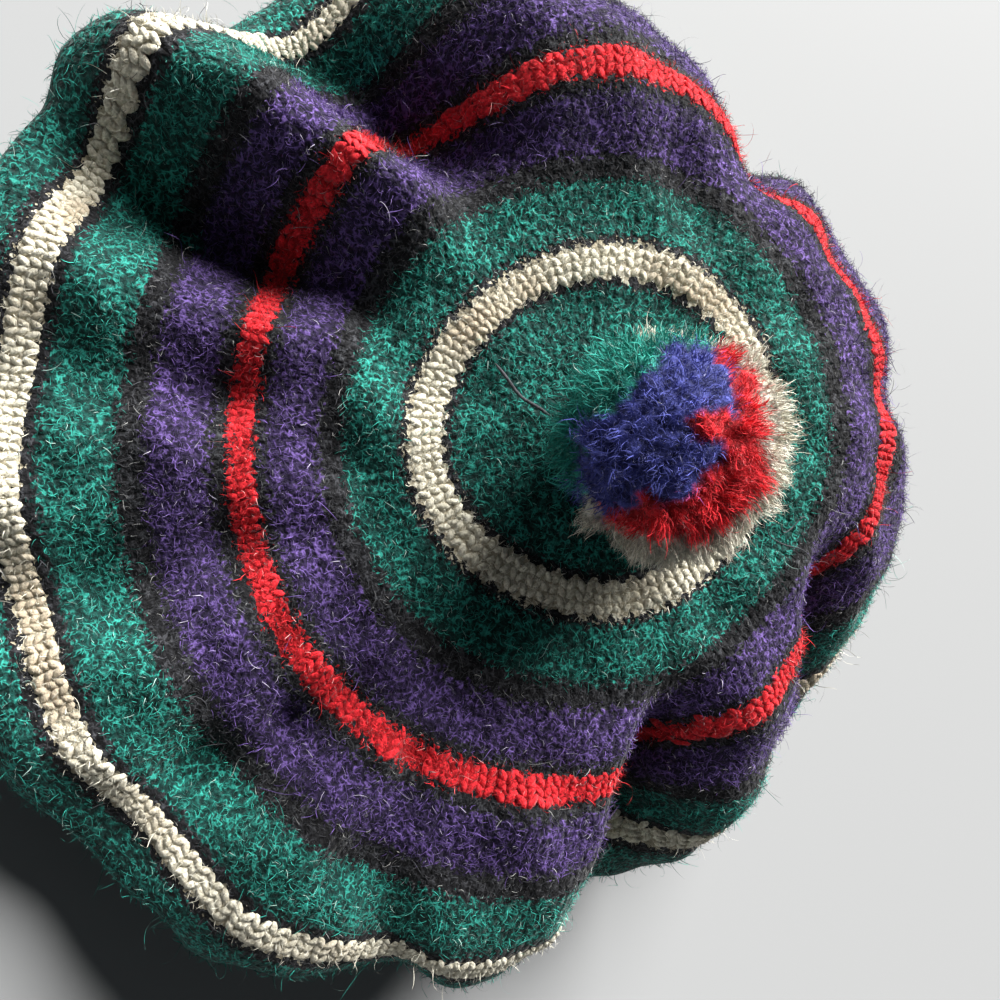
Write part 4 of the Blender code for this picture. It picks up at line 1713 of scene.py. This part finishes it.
@dataclass
class Pompom:
    """The pompom: a round ground and the cut strands that grow out of it."""

    form: CrownForm
    radius: float = 20.2 * MM
    detail: int = 5
    uneven: float = 0.08
    uneven_size: float = 8.0 * MM
    locks: int = 210
    lock_scatter: float = 0.05
    lock_gap: float = 0.13
    lock_least: float = 0.50
    lock_sink: float = 0.07
    gather: float = 2.2
    stray_lean: float = 0.30
    shift: tuple[float, float] = (1.6 * MM, 3.4 * MM)
    gap_shade: float = 0.50
    ragged: float = 0.16
    ragged_size: float = 5.0 * MM
    cleft: float = 0.42
    cleft_width: float = 0.16
    cleft_density: float = 0.3
    lock_pull: float = 0.55
    reach_scatter: float = 0.12
    tie_depth: float = 0.75
    sweep: float = 0.55

    def ground(self) -> tuple[bpy.types.Object, np.ndarray]:
        """Build the round ground with the attributes that its strands read.

        Returns:
            The ground, and the density share at each vertex.
        """
        low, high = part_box("pompom")
        side, far, facing = self.form.disc_ways()
        centre = np.array(0.5 * (low + high)) - self.shift[0] * side - self.shift[1] * far
        mesh = bpy.data.meshes.new("pompom_ground")
        shell = bmesh.new()
        bmesh.ops.create_icosphere(shell, subdivisions=self.detail, radius=1.0)
        shell.to_mesh(mesh)
        shell.free()
        ways = np.zeros(len(mesh.vertices) * 3)
        mesh.vertices.foreach_get("co", ways)
        ways = unit(ways.reshape(-1, 3))
        middles, inside, draws = self.part(ways)
        picked, cleft = self.pick(unit((1.0 - self.lock_pull) * ways + self.lock_pull * middles))
        wools = [tuft.wool for tuft in TUFTS]
        piles = np.array([PILES[wools[number]] for number in picked], dtype=np.float32)
        spots = ways * self.radius / self.uneven_size
        swell = self.uneven * np.array([noise.noise(Vector(spot)) for spot in spots])
        swell = swell + piles[:, 3] * (1.0 - cleft) - self.lock_sink * (1.0 - inside)
        places = centre + ways * (self.radius * (1.0 + swell))[:, None]
        mesh.vertices.foreach_set("co", places.ravel())
        mesh.shade_smooth()
        piece = bpy.data.objects.new("pompom_ground", mesh)
        bpy.context.scene.collection.objects.link(piece)
        # Painted shade: the tints of ground and strands darken towards the gaps between locks.
        shade = piles[:, 4] * (self.gap_shade + (1.0 - self.gap_shade) * inside)
        tints = np.array([wools[number].value.fibre for number in picked]) * shade[:, None]
        tie = -self.tie_depth * facing
        flow = unit(ways + self.sweep * unit(ways - tie) + self.gather * (middles - ways)
                    + self.stray_lean * draws[:, :3] - piles[:, 5:] * facing)
        set_attribute(piece, "flow", "FLOAT_VECTOR", flow.astype(np.float32))
        set_attribute(piece, TINT, "FLOAT_VECTOR", tints.astype(np.float32))
        set_attribute(piece, "fluff", "FLOAT", piles[:, 1].copy())
        reach = piles[:, 2] * (1.0 - self.cleft * cleft)
        reach = reach * (self.lock_least + (1.0 - self.lock_least) * inside)
        reach = reach * (1.0 + self.reach_scatter * draws[:, 3])
        set_attribute(piece, "reach", "FLOAT", reach.astype(np.float32))
        return piece, piles[:, 0] * (1.0 - self.cleft_density * cleft)

    def part(self, ways: np.ndarray) -> tuple[np.ndarray, np.ndarray, np.ndarray]:
        """Part the ball into locks of strands.

        Args:
            ways: Directions from the ball's middle.

        Returns:
            The direction of each one's lock, how far inside it lies, and the lock's four draws.
        """
        draw = np.random.default_rng(SEED)
        number = np.arange(self.locks) + 0.5
        height = 1.0 - 2.0 * number / self.locks
        turn = number * math.pi * (3.0 - math.sqrt(5.0))
        level = np.sqrt(1.0 - height**2)
        seeds = np.stack([level * np.cos(turn), level * np.sin(turn), height], axis=1)
        seeds = unit(seeds + draw.normal(0.0, self.lock_scatter, seeds.shape))
        draws = draw.normal(0.0, 1.0, (self.locks, 4))
        angles = np.arccos(np.clip(ways @ seeds.T, -1.0, 1.0))
        nearest = np.sort(angles, axis=1)
        own = angles.argmin(axis=1)
        inside = smooth_step(0.0, self.lock_gap, nearest[:, 1] - nearest[:, 0])
        return seeds[own], inside, draws[own]

    def pick(self, ways: np.ndarray) -> tuple[np.ndarray, np.ndarray]:
        """Pick the nearest tuft of each direction, with ragged borders.

        Args:
            ways: Directions from the ball's middle.

        Returns:
            The tuft's number, and 1 at a border with another wool, falling to 0.
        """
        side, far, facing = self.form.disc_ways()
        seeds = []
        for tuft in TUFTS:
            bearing, height = math.radians(tuft.bearing), math.radians(tuft.height)
            level = -math.sin(bearing) * side + math.cos(bearing) * far
            seeds.append(math.cos(height) * level + math.sin(height) * facing)
        spots = ways * self.radius / self.ragged_size
        shift = np.array([noise.noise_vector(Vector(spot)) for spot in spots])
        ways = unit(ways + self.ragged * shift)
        angles = np.arccos(np.clip(ways @ np.array(seeds).T, -1.0, 1.0))
        picked = angles.argmin(axis=1)
        wools = [tuft.wool.name for tuft in TUFTS]
        other = np.array([[name != wools[number] for name in wools] for number in picked])
        margin = np.where(other, angles, 9.0).min(axis=1) - angles.min(axis=1)
        return picked, 1.0 - smooth_step(0.0, self.cleft_width, margin)


@dataclass
class Headband:
    """The ribbed headband: a tube whose outside rises and falls with its ribs."""

    wall: float = 3.0 * MM
    ribs: int = 60
    depth: float = 0.9 * MM
    edge_round: float = 0.6 * MM
    columns_each: int = 6
    rounds: int = 9
    outer_rows: int = 8
    inner_rows: int = 5
    stitch_height: float = 1.5 * MM
    stitch_sink: float = 0.35 * MM
    stitch_share: float = 0.56

    def __post_init__(self) -> None:
        """Take the tube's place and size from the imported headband."""
        low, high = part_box("headband")
        self.centre = np.array([0.5 * (low.x + high.x), 0.5 * (low.y + high.y), 0.0])
        self.outer = 0.25 * ((high.x - low.x) + (high.y - low.y))
        self.height = high.z

    def ring(self, radii: np.ndarray, height: float, angles: np.ndarray) -> np.ndarray:
        """Place one row of the tube."""
        level = [np.cos(angles) * radii, np.sin(angles) * radii, np.full(len(angles), height)]
        return self.centre + np.stack(level, axis=1)

    def tube(self) -> bpy.types.Object:
        """Build the tube.

        Returns:
            The tube.
        """
        width = self.ribs * self.columns_each
        angles = 2.0 * math.pi * np.arange(width) / width
        outside = self.outer - self.depth * (0.5 - 0.5 * np.cos(self.ribs * angles))
        inside = np.full(width, self.outer - self.wall)
        edge, top = self.edge_round, self.height
        rows = [self.ring(inside, edge, angles), self.ring(inside + edge, 0.0, angles),
                self.ring(outside - edge, 0.0, angles)]
        heights = np.linspace(edge, top - edge, self.outer_rows)
        rows += [self.ring(outside, height, angles) for height in heights]
        rows += [self.ring(outside - edge, top, angles), self.ring(inside + edge, top, angles)]
        heights = np.linspace(top - edge, edge, self.inner_rows + 1)[:-1]
        rows += [self.ring(inside, height, angles) for height in heights]
        places = np.concatenate(rows)
        column = np.arange(width)
        after = (column + 1) % width
        faces = []
        for row in range(len(rows)):
            up = (row + 1) % len(rows)
            faces += np.stack([row * width + column, row * width + after, up * width + after,
                               up * width + column], axis=1).tolist()
        return link_mesh("headband_tube", places, faces)

    def stitches(self, grower: Grower, shape: bpy.types.Object,
                 finish: bpy.types.Material) -> bpy.types.Object:
        """Set a wale of V stitches on each rib.

        Args:
            grower: The trees.
            shape: The stitch's shape.
            finish: The yarn's material.

        Returns:
            The stitches.
        """
        pitch = (self.height - 2.0 * self.edge_round) / self.rounds
        angles = np.tile(2.0 * math.pi * np.arange(self.ribs) / self.ribs, self.rounds)
        heights = np.repeat(self.edge_round + pitch * (np.arange(self.rounds) + 0.5), self.ribs)
        outward = np.stack([np.cos(angles), np.sin(angles), np.zeros(len(angles))], axis=1)
        up = np.array([0.0, 0.0, 1.0])
        places = self.centre + outward * (self.outer - self.stitch_sink) + up * heights[:, None]
        points = link_mesh("headband_points", places, [])
        breadth = 2.0 * math.pi * self.outer / self.ribs * self.stitch_share
        size = np.array([breadth, pitch, self.stitch_height])
        vectors = {"facing": outward, "along": np.tile(up, (len(angles), 1)),
                   "size": np.tile(size, (len(angles), 1))}
        for name, values in vectors.items():
            set_attribute(points, name, "FLOAT_VECTOR", values.astype(np.float32))
        values = {"Shape": shape, "Finish": finish}
        piece = grower.run(points, grower.stitches, "headband_stitches", values)
        drop(points)
        return piece


class Stop(NamedTuple):
    """A point of a loose end: its distance along the cloth, bearing, and height over the cloth."""

    distance: float
    bearing: float
    height: float


class End(NamedTuple):
    """A loose end of yarn or a long stray fibre."""

    name: str
    thickness: float
    stops: tuple[Stop, ...]


LOOSE_ENDS = (
    End("thread_end", 0.75,
        (Stop(26.8, 136.0, 0.9), Stop(23.5, 139.5, 1.6), Stop(19.0, 147.0, 1.7),
         Stop(14.5, 151.0, 1.4), Stop(11.2, 155.5, 0.4))),
    End("stray_curl_1", 0.28,
        (Stop(44.0, 318.0, 6.0), Stop(46.5, 316.5, 4.4), Stop(48.0, 319.0, 3.2),
         Stop(49.2, 323.0, 3.0), Stop(51.0, 322.0, 3.4))),
    End("stray_curl_2", 0.26,
        (Stop(40.6, 315.5, 7.0), Stop(44.0, 313.0, 4.6), Stop(48.5, 313.5, 3.2),
         Stop(52.5, 315.0, 3.0), Stop(54.8, 314.0, 3.8), Stop(54.2, 312.0, 4.6))),
)


@dataclass
class LooseEnds:
    """The loose yarn end by the pompom and two long stray curls."""

    form: CrownForm
    sides: int = 6
    steps: int = 22
    tip: float = 0.35
    taper: float = 4.0

    def build(self, end: End) -> bpy.types.Object:
        """Build one end as a tapered tube over the cloth.

        Args:
            end: The end.

        Returns:
            The piece.
        """
        knots = []
        for stop in end.stops:
            distance, bearing = np.array([stop.distance * MM]), np.array([stop.bearing])
            place, normal, _ = self.form.surface(distance, bearing)
            knots.append(place[0] + stop.height * MM * normal[0])
        spans = np.arange(len(knots), dtype=float)
        path = smooth_rows(np.linspace(0.0, spans[-1], self.steps), spans, np.array(knots))
        runs = unit(np.gradient(path, axis=0))
        side = unit(np.cross(runs, self.form.top_normal()))
        rise = np.cross(side, runs)
        shares = np.linspace(0.0, 1.0, self.steps)
        taper = np.minimum(1.0, self.tip + self.taper * np.minimum(shares, 1.0 - shares))
        girth = 0.5 * end.thickness * MM * taper
        angles = 2.0 * math.pi * np.arange(self.sides) / self.sides
        round_ways = (np.cos(angles)[None, :, None] * side[:, None]
                      + np.sin(angles)[None, :, None] * rise[:, None])
        places = (path[:, None] + girth[:, None, None] * round_ways).reshape(-1, 3)
        faces = []
        for step in range(self.steps - 1):
            for number in range(self.sides):
                after = (number + 1) % self.sides
                a, b = step * self.sides, (step + 1) * self.sides
                faces.append((a + number, b + number, b + after, a + after))
        last = (self.steps - 1) * self.sides
        faces.append(tuple(range(self.sides)))
        faces.append(tuple(last + number for number in reversed(range(self.sides))))
        return link_mesh(end.name, places, faces)


class Lamp(NamedTuple):
    """A broad, soft light, far enough off to light the whole floor evenly.

    Its way counts along the camera's right, up and forward directions, its spread
    is in degrees, and its strength in watts for each square metre that faces it.
    """

    name: str
    way: tuple[float, float, float]
    spread: float
    strength: float
    colour: tuple[float, float, float]


LAMPS = (
    Lamp("key", (0.66, 0.70, -0.26), 38.0, 14.2, (1.0, 0.985, 0.96)),
    Lamp("fill", (-0.80, -0.45, -0.40), 45.0, 0.67, (0.95, 0.97, 1.0)),
)


@dataclass
class Studio:
    """Floor, light and camera."""

    floor_half: float = 12.0
    floor_colour: tuple[float, ...] = (0.23, 0.235, 0.24)
    floor_roughness: float = 0.8
    ambient_colour: tuple[float, ...] = (0.9, 0.95, 1.0)
    ambient: float = 0.07
    backdrop_colour: tuple[float, ...] = (0.72, 0.73, 0.74)
    focal: float = 36.0
    sensor: float = 36.0
    elevation: float = 60.0
    roll: float = 12.0
    depth: float = 0.219
    right_shift: float = 0.0219
    up_shift: float = 0.0160

    def floor(self) -> None:
        """Lay a plain pale floor."""
        half = self.floor_half
        corners = np.array([(-half, -half, 0), (half, -half, 0), (half, half, 0), (-half, half, 0)])
        piece = link_mesh("floor", corners, [(0, 1, 2, 3)])
        material = bpy.data.materials.new("pale floor")
        material.use_nodes = True
        shader = material.node_tree.nodes["Principled BSDF"]
        shader.inputs["Base Color"].default_value = rgba(self.floor_colour)
        shader.inputs["Roughness"].default_value = self.floor_roughness
        piece.data.materials.append(material)

    def axes(self) -> tuple[Vector, Vector, Vector]:
        """Give the camera's right, up and forward directions."""
        tilt, roll = math.radians(self.elevation), math.radians(self.roll)
        forward = Vector((0.0, math.cos(tilt), -math.sin(tilt)))
        level = Vector((1.0, 0.0, 0.0))
        upward = Vector((0.0, math.sin(tilt), math.cos(tilt)))
        right = math.sin(roll) * level + math.cos(roll) * upward
        up = -math.cos(roll) * level + math.sin(roll) * upward
        return right, up, forward

    def camera(self, target: np.ndarray) -> None:
        """Place the camera by the crown's middle.

        Args:
            target: The crown's middle.
        """
        right, up, forward = self.axes()
        away = self.depth * forward + self.right_shift * right + self.up_shift * up
        place = Vector(target) - away
        data = bpy.data.cameras.new("camera")
        data.lens = self.focal
        data.sensor_width = self.sensor
        data.clip_start = 0.01
        camera = bpy.data.objects.new("camera", data)
        turn = Matrix((right, up, -forward)).transposed()
        camera.matrix_world = Matrix.Translation(place) @ turn.to_4x4()
        bpy.context.scene.collection.objects.link(camera)
        bpy.context.scene.camera = camera

    def light(self, lamp: Lamp) -> None:
        """Hang one light.

        Args:
            lamp: The light.
        """
        right, up, forward = self.axes()
        way = lamp.way[0] * right + lamp.way[1] * up + lamp.way[2] * forward
        data = bpy.data.lights.new(lamp.name, "SUN")
        data.angle = math.radians(lamp.spread)
        data.energy = lamp.strength
        data.color = lamp.colour
        piece = bpy.data.objects.new(lamp.name, data)
        piece.rotation_euler = way.to_track_quat("Z", "Y").to_euler()
        bpy.context.scene.collection.objects.link(piece)

    def surroundings(self) -> None:
        """Lighten the shadows a little, and show the camera a pale backdrop."""
        world = bpy.data.worlds.new("studio")
        world.use_nodes = True
        world.node_tree.nodes.clear()
        graph = Graph(world.node_tree)
        inputs = {"Color": rgba(self.ambient_colour), "Strength": self.ambient}
        ambient = graph.node("ShaderNodeBackground", None, inputs).outputs[0]
        inputs = {"Color": rgba(self.backdrop_colour), "Strength": 1.0}
        backdrop = graph.node("ShaderNodeBackground", None, inputs).outputs[0]
        seen = graph.node("ShaderNodeLightPath").outputs["Is Camera Ray"]
        mixed = graph.node("ShaderNodeMixShader", None, {0: seen, 1: ambient, 2: backdrop})
        graph.node("ShaderNodeOutputWorld", None, {0: mixed.outputs[0]})
        bpy.context.scene.world = world

    def build(self, target: np.ndarray) -> None:
        """Set floor, camera, lights and backdrop.

        Args:
            target: The crown's middle.
        """
        self.floor()
        self.camera(target)
        for lamp in LAMPS:
            self.light(lamp)
        self.surroundings()
        bpy.context.scene.view_settings.view_transform = "Standard"


def hand_over(piece: bpy.types.Object, slot: str, *nodes: str) -> None:
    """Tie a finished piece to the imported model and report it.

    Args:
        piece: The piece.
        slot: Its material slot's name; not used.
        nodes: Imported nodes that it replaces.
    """
    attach(piece, ROOT)
    if nodes:
        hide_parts(*nodes)
    LOG.info("%s: %d triangles", piece.name, triangle_count(piece))


class Zone(NamedTuple):
    """A stretch of the crown's cloth with its own piece of nap."""

    low: float
    high: float
    density: float


ZONES = (
    Zone(10.0, 80.0, 1.42e6),
    Zone(80.0, 112.0, 1.53e6),
    Zone(112.0, 230.0, 0.53e6),
)
NAP_SHARES = {Wool.GREEN: 1.0, Wool.PURPLE: 1.0, Wool.CHARCOAL: 1.0, Wool.RED: 1.5,
              Wool.CREAM: 1.5}
NAP_LEANS = {Wool.GREEN: 1.0, Wool.PURPLE: 1.0, Wool.CHARCOAL: 1.0, Wool.RED: 0.60,
             Wool.CREAM: 0.50}
NAP_LENGTHS = (1.1 * MM, 3.0 * MM)
NAP_LEAN = (0.70, 1.45)
NAP_UNDERNEATH = 0.35
STRAYS = Fur(2.4e4, 5.0 * MM, 10.0 * MM, 0.5, 1.35)
STRAY_ENDS = (12.0 * MM, 230.0 * MM)
STRAYS_UNDERNEATH = 0.5
POMPOM_PILE = Fur(3.25e6, 3.6 * MM, 6.6 * MM, 0.10, 0.70)
POMPOM_STRAYS = Fur(1.5e5, 5.0 * MM, 8.5 * MM, 0.3, 1.1)
CREAM_ROUNDS = ((34.5, 36.7, 38.9), (117.9, 120.1, 122.3))
RED_ROUNDS = (74.9, 76.7, 78.5)
RED_FLATNESS = 0.55


def dress_crown(form: CrownForm, grower: Grower) -> None:
    """Build the crown's cloth, stitches and nap.

    Args:
        form: The crown's form.
        grower: The trees.
    """
    crown = Crown(form)
    cloth = crown.cloth()
    cloth.data.materials.append(ClothFinish("fulled wool cloth").make())
    hand_over(cloth, "crown_wool", "crown")
    stitches = CrownStitches(form, grower)
    shape = StitchShape("stitch shape").make()
    cream = YarnFinish("cream yarn", wool=Wool.CREAM, brightness=0.60, tan_shade_share=0.75).make()
    red = YarnFinish("red yarn", wool=Wool.RED, brightness=0.6).make()
    for number, rounds in enumerate(CREAM_ROUNDS):
        rounds = [distance * MM for distance in rounds]
        piece = stitches.rounds(f"cream_stitches_{number + 1}", rounds, cream, shape)
        hand_over(piece, "crown_wool")
    rounds = [distance * MM for distance in RED_ROUNDS]
    piece = stitches.rounds("red_stitches", rounds, red, shape, RED_FLATNESS)
    hand_over(piece, "crown_wool")
    shapes = FibreShapes("fibre shapes").make()
    long_shapes = FibreShapes("long fibre shapes", segments=8, width=0.016, most_curl=5.0,
                              twist=2.5).make()
    fibres = FibreFinish("loose fibres").make()
    set_attribute(cloth, "reach", "FLOAT", np.ones(len(cloth.data.vertices), dtype=np.float32))
    distances = crown.even_distances(cloth)
    set_attribute(cloth, "fluff", "FLOAT", crown.by_ring(distances, NAP_LEANS))
    for number, zone in enumerate(ZONES):
        fleece = Fleece(grower, shapes, fibres)
        fur = Fur(zone.density, *NAP_LENGTHS, *NAP_LEAN)
        weights = crown.nap_weights(distances, zone.low * MM, zone.high * MM, NAP_UNDERNEATH)
        nap = fleece.grow(cloth, f"crown_nap_{number + 1}", fur, weights, SEED + 10 * number)
        hand_over(nap, "crown_wool")
    fleece = Fleece(grower, long_shapes, fibres)
    weights = crown.nap_weights(distances, *STRAY_ENDS, STRAYS_UNDERNEATH)
    hand_over(fleece.grow(cloth, "crown_strays", STRAYS, weights, SEED + 50), "crown_wool")
    for name in ("reach", "fluff", "flow"):
        cloth.data.attributes.remove(cloth.data.attributes[name])
    for end in LOOSE_ENDS:
        piece = LooseEnds(form).build(end)
        finish = YarnFinish(end.name + " yarn", wool=Wool.CHARCOAL, brightness=0.9).make()
        piece.data.materials.append(finish)
        hand_over(piece, "crown_wool")
    drop(shape, shapes, long_shapes)


def dress_headband(grower: Grower) -> None:
    """Build the headband's tube and rib stitches.

    Args:
        grower: The trees.
    """
    band = Headband()
    finish = YarnFinish("headband yarn", wool=Wool.CHARCOAL, brightness=0.8).make()
    tube = band.tube()
    tube.data.materials.append(finish)
    hand_over(tube, "headband_wool", "headband")
    shape = StitchShape("rib stitch shape", sides=4, segments=3, yarn=0.30).make()
    hand_over(band.stitches(grower, shape, finish), "headband_wool")
    drop(shape)


def dress_pompom(form: CrownForm, grower: Grower) -> None:
    """Build the pompom's ground and strands.

    Args:
        form: The crown's form.
        grower: The trees.
    """
    ground, weights = Pompom(form).ground()
    ground.data.materials.append(TintFinish("pompom ground").make())
    finish = FibreFinish("pompom fibres", least=0.66, glint_share=0.03).tinted()
    shapes = FibreShapes("pile shapes", segments=4, width=0.040, least_curl=1.4, most_curl=5.2,
                         twist=2.4).make()
    long_shapes = FibreShapes("long pile shapes", segments=7, width=0.020, most_curl=4.0,
                              twist=2.0).make()
    fleece = Fleece(grower, shapes, finish)
    pile = fleece.grow(ground, "pompom_pile", POMPOM_PILE, weights, SEED + 70)
    hand_over(ground, "pompom_wool", "pompom")
    hand_over(pile, "pompom_wool")
    fleece = Fleece(grower, long_shapes, finish)
    strays = fleece.grow(ground, "pompom_strays", POMPOM_STRAYS, weights, SEED + 80)
    hand_over(strays, "pompom_wool")
    drop(shapes, long_shapes)


def main() -> None:
    """Build the hat's looks in order."""
    logging.basicConfig(level=logging.INFO, format="%(message)s")
    noise.seed_set(SEED)
    form = CrownForm()
    grower = Grower()
    dress_headband(grower)
    dress_crown(form, grower)
    dress_pompom(form, grower)
    Studio().build(form.middle)


if __name__ == "__main__":
    main()
